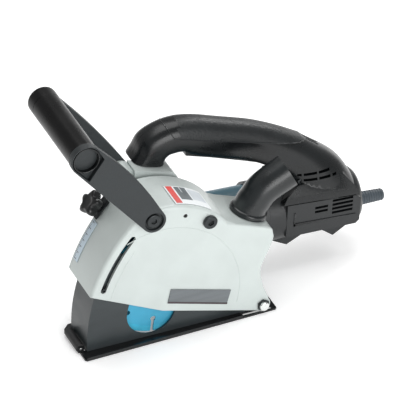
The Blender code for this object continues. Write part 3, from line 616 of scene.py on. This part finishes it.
for name in ("near_diamond_wheel", "far_diamond_wheel"):
    low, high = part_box(name)
    near, far = (low[1] - NEAR_FACE) * 1000, (high[1] - NEAR_FACE) * 1000
    piece(name + "_disc", wheel_disc(near, far), "spindle_unit", wheel_blue, (name,),
          edge=0.25)
    gap = 1.6 / 59
    centre = at(SPINDLE[0], (near + far) / 2, SPINDLE[1])
    rim = grown(name + "_rim", rim_tree, count=SLOTS, radius=0.05895,
                start=math.radians(SLOT_TURN) + gap, sweep=2 * math.pi / SLOTS - 2 * gap,
                height=0.0071, thickness=0.0022, place=tuple(centre), finish=abrasive)
    piece(name + "_segments", rim, "spindle_unit", abrasive, edge=0.2)
ground = finish("ground_steel", (0.62, 0.63, 0.63), 0.28, metal=1.0, grain=0.15, grain_size=0.0006,
                stretch=(1, 6, 1))
for name in ("spindle", "wheel_spacer", "inner_flange"):
    refined(name, "spindle_unit", ground, edge=0.3)
refined("lock_nut", "spindle_unit", dark_bolt, edge=0.6, steps=3)
cast_raw = finish("gear_steel", (0.3, 0.3, 0.31), 0.45, metal=0.9, grain=0.2, grain_size=0.0008)
refined("bevel_gear", "spindle_unit", cast_raw, edge=0.2)
for name, look, slot in (("bearing_box", silver, "cast_silver"),
                         ("spindle_bearing", ground, "bright_steel"),
                         ("needle_bearing", ground, "bright_steel")):
    refined(name, "machine", look, edge=0.3)

# ---------------------------------------------------------------- dust elbow
# Moulded black elbow seated on the ledge of the case with a flat foot ring; a hose pushes
# into its open end. Glossy, with a soft step where the foot ring meets the tube.

glossy_black = finish("glossy_black", (0.006, 0.0085, 0.0095), 0.27, grain=0.1, grain_size=0.0016,
                      mottle=0.2, coat=0.2, shine=0.45)


def smooth_path(stations, steps):
    """Points and sizes on a smooth curve through the stations, each a tuple of numbers."""
    made = []
    last = len(stations) - 1
    for i in range(last):
        a, b = stations[max(i - 1, 0)], stations[i]
        c, d = stations[i + 1], stations[min(i + 2, last)]
        for k in range(steps):
            t = k / steps
            made.append(tuple(
                0.5 * (2 * q + (r - p) * t + (2 * p - 5 * q + 4 * r - s) * t * t
                       + (3 * q - p - 3 * r + s) * t ** 3)
                for p, q, r, s in zip(a, b, c, d)))
    return made + [tuple(stations[-1])]


ELBOW = ((-5.6, 102.3, 18.6), (-2.0, 111.6, 18.0), (3.0, 118.0, 18.0), (9.0, 125.5, 18.0),
         (17.5, 131.5, 18.0), (29.0, 137.4, 18.2), (39.5, 142.6, 18.4))
run = smooth_path(ELBOW, 7)
outer, inner = [], []
for i, (x, z, radius) in enumerate(run):
    ahead = Vector(run[min(i + 1, len(run) - 1)][:2]) - Vector(run[max(i - 1, 0)][:2])
    along = Vector((ahead.x, 0, ahead.y)).normalized() if i > 2 else LEDGE.copy()
    across = Vector((0, 1, 0))
    up = along.cross(across)
    centre = at(x, 28, z) + (LEDGE * 0.0004 if i == 0 else Vector())
    for rings, reach in ((outer, radius), (inner, 15.5)):
        rings.append([centre + (across * math.cos(a) + up * math.sin(a)) * reach / 1000
                      for a in (2 * math.pi * k / 72 for k in range(72))])
elbow = loft(outer + inner[::-1] + [outer[0]], ends=False)
foot_ring = turned(at(-5.6, 28, 102.3), LEDGE, [(0, 15.6), (0, 20.5), (3.4, 20.5), (4.6, 19.9),
                                               (5.4, 18.7), (5.8, 17.4), (5.8, 15.6)], 72, ring=True)
piece("dust_elbow", elbow, "machine", glossy_black, ("dust_nozzle",), edge=0.7,
      steps=3, angle=50)
piece("elbow_foot_ring", foot_ring, "machine", glossy_black, edge=0.3)

# ---------------------------------------------------------------- gear housing
# Die-cast housing of the bevel gears behind the case, painted as the case is, with the neck
# that carries the loop handle, its cover screws on the far side, and the spindle lock.

refined("gear_housing", "machine", silver, edge=1.0, steps=3)
refined("shaft_lock_button", "shaft_lock", star_black, edge=0.8, steps=3)

screw_tree, given = node_tree(
    "set_screws", points=("Object", None), head_radius=("Float", 0.0032),
    head_height=("Float", 0.002), drive_radius=("Float", 0.0016), finish=("Material", None))
chosen = screw_tree.nodes.new("GeometryNodeObjectInfo")
aim = screw_tree.nodes.new("GeometryNodeInputNamedAttribute")
aim.data_type = "FLOAT_VECTOR"
aim.inputs["Name"].default_value = "aim"
spots = screw_tree.nodes.new("GeometryNodeMeshToPoints")
face_to = screw_tree.nodes.new("FunctionNodeAlignRotationToVector")
head = screw_tree.nodes.new("GeometryNodeMeshCylinder")
head.inputs["Vertices"].default_value = 28
drive = screw_tree.nodes.new("GeometryNodeMeshCylinder")
drive.inputs["Vertices"].default_value = 6
drive.inputs["Depth"].default_value = 0.0016
raise_drive = screw_tree.nodes.new("GeometryNodeTransform")
lift = screw_tree.nodes.new("ShaderNodeCombineXYZ")
halved = screw_tree.nodes.new("ShaderNodeMath")
halved.operation = "MULTIPLY"
halved.inputs[1].default_value = 0.5
cut = screw_tree.nodes.new("GeometryNodeMeshBoolean")
cut.operation = "DIFFERENCE"
copies = screw_tree.nodes.new("GeometryNodeInstanceOnPoints")
wired(
    screw_tree,
    (given.outputs["Points"], chosen.inputs["Object"]),
    (chosen.outputs["Geometry"], spots.inputs["Mesh"]),
    (spots.outputs[0], copies.inputs["Points"]),
    (aim.outputs["Attribute"], face_to.inputs["Vector"]),
    (face_to.outputs[0], copies.inputs["Rotation"]),
    (given.outputs["Head Radius"], head.inputs["Radius"]),
    (given.outputs["Head Height"], head.inputs["Depth"]),
    (given.outputs["Drive Radius"], drive.inputs["Radius"]),
    (given.outputs["Head Height"], halved.inputs[0]),
    (halved.outputs[0], lift.inputs["Z"]),
    (drive.outputs["Mesh"], raise_drive.inputs["Geometry"]),
    (lift.outputs[0], raise_drive.inputs["Translation"]),
    (head.outputs["Mesh"], cut.inputs[0]),
    (raise_drive.outputs[0], cut.inputs[1]),
    (cut.outputs[0], copies.inputs["Instance"]),
)
closed_tree(screw_tree, copies.outputs[0], given)


def screws(name, body, places, radius=3.2):
    """A set of like screws: each place is a point in millimetres and the way its head faces."""
    marks = bpy.data.meshes.new(name + "_marks")
    marks.from_pydata([at(*point) for point, _ in places], [], [])
    facing = marks.attributes.new("aim", "FLOAT_VECTOR", "POINT")
    facing.data.foreach_set("vector", [v for _, way in places for v in way])
    holder = blank(name + "_marks", marks)
    mesh = grown(name, screw_tree, points=holder, head_radius=radius / 1000,
                 head_height=HEAD_HEIGHT, drive_radius=radius / 2000, finish=dark_bolt)
    bpy.data.objects.remove(holder)
    return piece(name, mesh, body, dark_bolt, edge=0.25)


HEAD_HEIGHT = 0.0024
cover_ring = arc(27.2, 62, 362, 4, SPINDLE)
screws("gear_cover_screws", "machine", [((x, 112.4, z), (0, 1, 0)) for x, z in cover_ring])
screws("neck_screws", "machine", [((x, 102.4, z), (0, 1, 0)) for x, z in ((-98, 148), (-80, 141))])

# ---------------------------------------------------------------- motor
# Universal motor: wound core on its shaft between two bearings, with fan, commutator and a
# pair of brushes, inside a teal moulded barrel and a black rear housing.

MOTOR_Y = 92.5
DROOP = math.radians(3.0)


def motor_point(distance, drop=0.0, side=0.0):
    """A place by its distance behind the spindle along the motor, in millimetres."""
    return (SPINDLE[0] + distance * math.cos(DROOP) - drop * math.sin(DROOP), MOTOR_Y + side,
            SPINDLE[1] - distance * math.sin(DROOP) - drop * math.cos(DROOP))


MOTOR_WAY = Vector((math.cos(DROOP), 0, -math.sin(DROOP)))


def motor_turned(profile, segments=96, ring=False):
    return turned(at(*motor_point(0)), MOTOR_WAY, profile, segments, ring)


teal = finish("teal_plastic", (0.026, 0.115, 0.16), 0.38, grain=0.3, grain_size=0.0011, mottle=0.08)
textured_black = finish("textured_black", (0.009, 0.0108, 0.012), 0.34, grain=0.22, grain_size=0.0012,
                        mottle=0.16)
copper = finish("worn_copper", (0.72, 0.35, 0.18), 0.33, metal=1.0, grain=0.2, stretch=(0.2, 1, 1))
brush_carbon = finish("brush_carbon", (0.03, 0.03, 0.03), 0.8, grain=0.5)
motor_start, motor_end = 52.0, 136.0
piece("motor_barrel", motor_turned(
    [(motor_start, 28.3), (motor_start, 31.0), (motor_start + 0.6, 31.5), (motor_start + 6, 31.5),
     (motor_start + 6.5, 30.9), (motor_start + 7.5, 30.9), (motor_start + 8, 31.5),
     (motor_end, 31.5), (motor_end, 28.3)], ring=True),
    "machine", teal, ("motor_housing",), edge=0.2)
for name, look, slot in (("armature_shaft", ground, "bright_steel"),
                         ("bevel_pinion", cast_raw, "core_steel"),
                         ("cooling_fan", star_black, "black_plastic"),
                         ("armature_core", cast_raw, "core_steel"), ("commutator", copper, "copper")):
    refined(name, "armature_unit", look, edge=0.2)
for name, look, slot in (("front_bearing", ground, "bright_steel"),
                         ("rear_bearing", ground, "bright_steel"),
                         ("field_core", cast_raw, "core_steel"),
                         ("fan_baffle", star_black, "black_plastic"),
                         ("near_brush", brush_carbon, "carbon"), ("far_brush", brush_carbon, "carbon"),
                         ("near_brush_holder", copper, "copper"),
                         ("far_brush_holder", copper, "copper"),
                         ("switch", brush_carbon, "carbon")):
    refined(name, "machine", look, edge=0.2)

# Rear housing: a collar at its front, a flat-sided panel with air slots on each side, and two
# triangular feet below, all in one textured moulding.
REAR_END = 262.0
body_start = motor_end + 0.3
shell = motor_turned([(body_start, 29.5), (body_start, 33.8), (body_start + 0.8, 34.5),
                      (body_start + 5.2, 34.5), (body_start + 5.7, 33.7), (body_start + 6.5, 33.7),
                      (body_start + 7, 34.5), (body_start + 13.4, 34.5), (body_start + 14.2, 33.2),
                      (REAR_END - 15, 33.0), (REAR_END - 10, 32.2), (REAR_END - 5, 29.8),
                      (REAR_END - 2, 26.6), (REAR_END, 21), (REAR_END, 4), (REAR_END - 4, 4),
                      (REAR_END - 8, 24), (REAR_END - 16, 29.5)], ring=True)
feet = []
for front_end, tip, back in ((158, 178, 200), (218, 232, 250)):
    corners = [motor_point(front_end, 28), motor_point(tip, 38), motor_point(back, 26)]
    feet.append(prism([(c[0], c[2]) for c in corners], MOTOR_Y - 17, MOTOR_Y - 11))


def side_plan(corners):
    """Distances and drops along the motor turned into a side-view outline."""
    return [(p[0], p[2]) for p in (motor_point(d, h) for d, h in corners)]


panels = []
for side in (-1, 1):
    low, high = sorted((MOTOR_Y + side * 8, MOTOR_Y + side * 33.4))
    panels.append(prism(side_plan(((169, -23), (248, -20), (254, -16), (254, 12), (250, 16), (169, 17))),
                        low, high))
    low, high = sorted((MOTOR_Y + side * 32, MOTOR_Y + side * 34.2))
    panels.append(prism(side_plan(((177, 1), (249, 3), (249, 4.6), (177, 4.6))), low, high))
    panels.append(prism(side_plan(((177, -12), (178.6, -12), (178.6, 4), (177, 4))), low, high))
slots = []
for side in (-1, 1):
    for row, spans in enumerate((((221, 24),), ((201, 15), (221, 24)), ((201, 15), (221, 24)),
                                 ((221, 24),))):
        for start_at, length in spans:
            low, high = sorted((MOTOR_Y + side * 20, MOTOR_Y + side * 36))
            drop = -18.5 + 5.0 * row
            slots.append(prism(side_plan(((start_at, drop - 1.5), (start_at + length, drop - 1.5),
                                          (start_at + length, drop + 1.5), (start_at, drop + 1.5))),
                               low, high))
cord_mouth = turned(at(*motor_point(REAR_END - 20, 10)), MOTOR_WAY, [(0, 6.6), (30, 6.6)], 40)
rear_mesh = carved(shell, [cord_mouth] + slots, feet + panels)
piece("rear_shell", rear_mesh, "machine", textured_black, ("rear_housing",), edge=0.7)

# Rubber sleeve of the cord, ribbed so that it bends evenly.
rubber = finish("sleeve_rubber", (0.045, 0.058, 0.07), 0.5, grain=0.25, grain_size=0.0011, mottle=0.15)
sleeve = [(0, 3.0), (0, 6.2), (6.6, 6.2), (6.6, 7.2), (7.2, 7.8), (10.5, 7.6), (12, 7.2)]
for rib in range(9):
    start_at = 12.6 + 2.9 * rib
    size = 7.3 - 0.1 * rib
    sleeve += [(start_at, size - 0.3), (start_at + 0.7, size - 0.35), (start_at + 1.0, size),
               (start_at + 2.4, size)]
sleeve += [(39.2, 6.0), (40, 5.5), (40, 3.0)]
piece("cord_sleeve", turned(at(*motor_point(REAR_END - 6, 10)), MOTOR_WAY, sleeve, 48, ring=True),
      "machine", rubber, ("cord_guard",), angle=40)

# ---------------------------------------------------------------- loop handle
# Two halves moulded in black plastic and screwed together on the middle plane, from the neck
# of the gear housing over to the rear housing. The lever sits flush in the underside.

HANDLE_PATH = (
    (-95.0, 154.8, 18.6, 19.0, 73, 0.62),
    (-90.6, 162.8, 17.8, 19.0, 72, 0.66),
    (-82.4, 170.8, 20.5, 19.0, 53, 0.78),
    (-64.0, 174.5, 21.8, 19.0, 30, 0.85),
    (-45.0, 170.5, 21.8, 19.0, 0, 0.85),
    (-18.0, 160.5, 21.8, 19.0, -20, 0.85),
    (22.0, 145.7, 21.8, 19.0, -22, 0.85),
    (57.0, 126.0, 22.5, 21.0, -28, 0.85),
    (80.0, 107.5, 24.0, 24.0, -48, 0.85),
    (96.0, 84.5, 33.0, 29.5, -64, 0.8),
    (103.5, 67.0, 37.5, 34.2, -82, 0.7),
)
TRIGGER_PIVOT = (43.0, 119.6)
handle_black = finish("handle_black", (0.0045, 0.0058, 0.0066), 0.27, grain=0.12, grain_size=0.0013,
                      mottle=0.2, shine=0.42)


def section_point(station, angle, way, joint=0.0):
    """The point of a handle section at this angle from its top, on the near or the far side."""
    x, z, half_height, half_width, pitch, roundness = station
    turn = math.radians(pitch)
    up = Vector((-math.sin(turn), 0, math.cos(turn)))
    rise = math.copysign(abs(math.cos(angle)) ** roundness, math.cos(angle))
    reach = abs(math.sin(angle)) ** roundness
    centre = at(x, MOTOR_Y + way * (joint + reach * (half_width - joint)), z)
    return centre + up * rise * half_height / 1000


def handle_ring(station, way):
    """Half of one handle section, flat on the joint side."""
    return [section_point(station, math.pi * i / 28, way, 0.12) for i in range(29)]


def lever_outline(margin=0.0, travel=0.0, depth=0.0):
    return [
        (-54 - margin, 154 - depth), (-54 - margin, 163.5 + margin + travel),
        (-40, 159.5 + margin + travel), (20, 137.5 + margin + travel * 0.4),
        (48 + 2 * margin, 125.5 + margin), (49 + 2 * margin, 114.5 - depth),
        (14, 129 - depth), (-25, 144 - depth),
    ]


grip_stations = smooth_path(HANDLE_PATH, 6)
handle_shells = []
for word, way in (("near", -1), ("far", 1)):
    rings = [handle_ring(station, way) for station in grip_stations]
    cutters = [
        motor_turned([(motor_end - 30, 34.8), (REAR_END + 30, 34.8)]),
        prism(side_plan(((160, -23.6), (255, -20.6), (300, -10), (300, 60), (160, 60))), 40, 145),
        prism(lever_outline(0.7, 5.5, 30), MOTOR_Y - 13.7, MOTOR_Y + 13.7),
        prism([(-34, 146), (-34, 176), (-6, 176), (-6, 146)], MOTOR_Y - 9.3, MOTOR_Y + 9.3),
        prism([(-130, 164.6), (-130, 100), (-60, 100), (-60, 143.4)], 60, 120),
        rod(*TRIGGER_PIVOT, MOTOR_Y - 16.5, MOTOR_Y + 16.5, 2.4, 24),
    ]
    for first, length, row in ((70, 4.5, 0), (76.5, 14.5, 0), (93, 13, 0), (70, 4.5, 1),
                               (76.5, 14.5, 1), (93, 13, 1), (108.5, 5, 1)):
        base_z = 101.0 - 6.8 * row
        shape = [(first, base_z - 1.5), (first + length, base_z - 1.5), (first + length, base_z + 1.5),
                 (first, base_z + 1.5)]
        low, high = sorted((MOTOR_Y + way * 17.0, MOTOR_Y + way * 45.0))
        cutters.append(prism(shape, low, high))
    wide, slim, inner = (MOTOR_Y + way * reach for reach in (33.3, 25.0, 4.0))
    low_edge = [(50.0, 74.0), (138.0, 66.0)]
    shoulder = loft([
        [at(x, wide, z) for x, z in low_edge + [(136.0, 73.5), (54.0, 82.5)]],
        [at(x, slim, z) for x, z in low_edge + [(122.0, 91.0), (70.0, 89.5)]],
        [at(x, inner, z) for x, z in low_edge + [(122.0, 91.0), (74.0, 89.5)]],
    ])
    handle_shells.append(piece(
        f"{word}_handle_shell", carved(loft(rings), cutters, [shoulder]), "machine", handle_black,
        (f"{word}_handle_half",), edge=0.25, angle=48))
# The top of the grip is overmoulded in fine ribbed rubber, with a bead along its border.
soft_rubber = finish("soft_rubber", (0.0085, 0.0105, 0.0115), 0.42, grain=0.6, grain_size=0.0018,
                     mottle=0.25, stretch=(1, 0.25, 1), shine=0.42)
CREASE_FRONT, CREASE_REAR = -62.0, 84.0


def crease_height(x):
    return 175.0 - 0.318 * (x + 46.0)


def crease_angle(station):
    """The angle from its top at which the crease crosses this section."""
    def miss(angle):
        place = (section_point(station, angle, 1) - at(0, 0, 0)) * 1000
        return abs(place.z - crease_height(place.x))
    return min((math.pi * (0.02 + 0.6 * i / 200) for i in range(200)), key=miss)


def bead(name, points, size, body, material):
    """A thin round bead laid along points."""
    curve = bpy.data.curves.new(name, "CURVE")
    curve.dimensions = "3D"
    curve.bevel_depth = size
    curve.bevel_resolution = 3
    curve.use_fill_caps = True
    line = curve.splines.new("POLY")
    line.points.add(len(points) - 1)
    for slot_point, place in zip(line.points, points):
        slot_point.co = (*place, 1)
    holder = blank(name, curve)
    mesh = settled(holder)
    bpy.data.objects.remove(holder)
    return piece(name, mesh, body, material, angle=60)


zone = [s for s in grip_stations if CREASE_FRONT - 3 < s[0] < CREASE_REAR]
border = [section_point(s, crease_angle(s), -1) for s in zone[::-1]]
top_angle = crease_angle(zone[0])
for way, first, last in ((-1, top_angle, 0.0), (1, 0.0, top_angle)):
    border += [section_point(zone[0], first + (last - first) * k / 12, way) for k in range(1, 13)]
border += [section_point(s, crease_angle(s), 1) for s in zone]
bead("grip_border", border, 0.00055, "machine", textured_black)


def in_rubber_zone(centre, normal):
    place = (centre - at(0, 0, 0)) * 1000
    return CREASE_FRONT < place.x < CREASE_REAR and place.z > crease_height(place.x)


for shell_half in handle_shells:
    repainted(shell_half, soft_rubber, in_rubber_zone)
screws("near_handle_screws", "machine",
       [((-84, 75.6, 163), (0, -1, 0)), ((74, 71.2, 92), (0, -1, 0))], radius=3.4)
screws("far_handle_screws", "machine",
       [((-84, 109.4, 163), (0, 1, 0)), ((10, 110.4, 152), (0, 1, 0)), ((74, 113.8, 92), (0, 1, 0))],
       radius=3.4)
refined("switch_lever", "trigger", textured_black, edge=1.6, steps=4)

# ---------------------------------------------------------------- front grip
# Moulded tube between two flat arms, each clamped by one socket bolt in a round recess. The
# near arm has a dished oval pocket with a raised ring over the end of the tube.

GRIP_TUBE = (-201.0, 244.0)
arm_grey = finish("arm_plastic", (0.021, 0.0255, 0.0275), 0.52, grain=0.32,
                  grain_size=0.0012, mottle=0.14, shine=0.4)
grip_black = finish("grip_black", (0.0016, 0.0016, 0.0018), 0.3, grain=0.08,
                    grain_size=0.0014, mottle=0.25, shine=0.22)
tube_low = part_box("front_grip_tube")[0]
tube_start = (tube_low[1] - NEAR_FACE) * 1000
cap_low, cap_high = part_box("front_grip_cap")
cap_length = (cap_high[1] - cap_low[1]) * 1000
tube_length = (cap_low[1] - tube_low[1]) * 1000 - 0.2
piece("grip_tube", turned(at(GRIP_TUBE[0], tube_start, GRIP_TUBE[1]), (0, 1, 0),
                          [(0, 14.6), (0.5, 15.6), (1.4, 16.0), (tube_length - 0.3, 16.0),
                           (tube_length, 15.8)], 96),
      "front_grip", grip_black, ("front_grip_tube",), angle=50)
cap_profile = [(0, 15.8), (0.3, 16.0)]
for step in range(7):
    a = math.radians(15 * step)
    cap_profile.append((cap_length - 3.2 + 3.2 * math.sin(a), 12.6 + 3.4 * math.cos(a)))
piece("grip_cap", turned(at(GRIP_TUBE[0], (cap_low[1] - NEAR_FACE) * 1000, GRIP_TUBE[1]), (0, 1, 0),
                         cap_profile, 96),
      "front_grip", grip_black, ("front_grip_cap",), angle=50)
grip_way = (Vector(GRIP_TUBE) - Vector(GRIP_BOLT)).normalized()
rearward = Vector((grip_way.y, -grip_way.x))
tilt = math.degrees(math.atan2(grip_way.y, -grip_way.x))
for word, low, waist, end_radius in (("near", -11.0, 20.0, 17.0), ("far", 88.0, 17.0, 15.9)):
    waist_points = []
    for t in (0.2, 0.35, 0.5, 0.65, 0.8):
        middle = Vector(GRIP_BOLT).lerp(Vector(GRIP_TUBE), t)
        straight = 13.2 + (end_radius - 13.2) * t
        bulge = (waist - (13.2 + end_radius) / 2) * (1 - (2 * t - 1) ** 2)
        waist_points.append(tuple(middle + rearward * (straight + bulge)))
    arm = arc(13.2, tilt - 90, tilt - 270, 24, GRIP_BOLT) + waist_points
    arm += arc(end_radius, tilt + 90, tilt - 90, 28, GRIP_TUBE)
    way = -1 if word == "near" else 1
    face = low if word == "near" else low + 8.0
    cut_low, cut_high = sorted((face + way, face - way * 3.5))
    cutters = [rod(*GRIP_BOLT, cut_low, cut_high, 10.4, 64), rod(*GRIP_BOLT, low - 2, low + 12, 3.6, 24)]
    if word == "near":
        inboard = Vector(GRIP_TUBE) - grip_way * 18.0
        slant = Vector((math.cos(math.radians(54)), math.sin(math.radians(54))))
        pocket = arc(15.4, tilt + 100, tilt - 100, 36, GRIP_TUBE)
        pocket += [tuple(inboard - slant * 14.5), tuple(inboard + slant * 14.0)]
        cutters.append(prism(pocket, face - 1, face + 5.5))
    piece(f"{word}_arm", carved(prism(arm, low, low + 8.0), cutters), "front_grip", arm_grey,
          (f"{word}_grip_arm",), edge=0.7, steps=3)
    refined(f"{word}_grip_bolt", "machine", dark_bolt, edge=0.4, steps=3)
rim_profile = [(0.3, 13.4), (0.0, 13.8), (0.1, 14.3), (0.6, 14.7), (5.0, 14.7), (5.0, 13.4)]
pocket_ring = turned(at(GRIP_TUBE[0], -10.6, GRIP_TUBE[1]), (0, 1, 0), rim_profile, 96, ring=True)
piece("pocket_ring", pocket_ring, "front_grip", handle_black, angle=50)

# ---------------------------------------------------------------- floor, light and camera
# White sweep under large soft lights, and the view down on the front near corner.

floor_mesh = bmesh.new()
reach = 30.0
for x, y in ((-reach, -reach), (reach, -reach), (reach, reach), (-reach, reach)):
    floor_mesh.verts.new((x, y, -0.0004))
floor_mesh.faces.new(floor_mesh.verts[:])
floor_data = bpy.data.meshes.new("studio_floor")
floor_mesh.to_mesh(floor_data)
floor_mesh.free()
floor = blank("studio_floor", floor_data)
floor_look = finish("studio_paper", (0.93, 0.93, 0.93), 0.9, mottle=0.004)
paper = floor_look.node_tree.nodes["Principled BSDF"]
paper.inputs["Emission Color"].default_value = (1.0, 1.0, 1.0, 1)
paper.inputs["Emission Strength"].default_value = 0.3
floor_data.materials.append(floor_look)

studio = bpy.data.worlds.new("studio")
bpy.context.scene.world = studio
studio.use_nodes = True
studio.node_tree.nodes["Background"].inputs["Color"].default_value = (1.0, 1.0, 1.0, 1)
studio.node_tree.nodes["Background"].inputs["Strength"].default_value = 0.42
AIM = at(-28.6, 74.3, 81.3)
for name, place, size, power in (
    ("front", (0.2, -2.0, 0.75), 1.3, 27.0),
    ("overhead", (0.15, 0.5, 1.9), 1.6, 22.0),
    ("rim", (1.2, 1.0, 0.9), 0.5, 8.0),
):
    lamp = bpy.data.lights.new(name, "AREA")
    lamp.size = size
    lamp.energy = power
    holder = bpy.data.objects.new(name, lamp)
    holder.location = AIM + Vector(place)
    holder.rotation_euler = Vector(place).to_track_quat("Z", "Y").to_euler()
    bpy.context.scene.collection.objects.link(holder)

lens = bpy.data.cameras.new("camera")
camera = bpy.data.objects.new("camera", lens)
right = Vector((0.918, -0.3955, 0.0)).normalized()
back = Vector((-0.324, -0.752, 0.574)).normalized()
up = back.cross(right).normalized()
right = up.cross(back)
DISTANCE = 6.0
lens.sensor_width = 36
lens.lens = 0.952 * DISTANCE * 1000 * 36 / 420
camera.matrix_world = Matrix((
    (right.x, up.x, back.x, AIM.x + back.x * DISTANCE),
    (right.y, up.y, back.y, AIM.y + back.y * DISTANCE),
    (right.z, up.z, back.z, AIM.z + back.z * DISTANCE),
    (0, 0, 0, 1),
))
bpy.context.scene.collection.objects.link(camera)
bpy.context.scene.camera = camera
bpy.context.scene.view_settings.view_transform = "Standard"
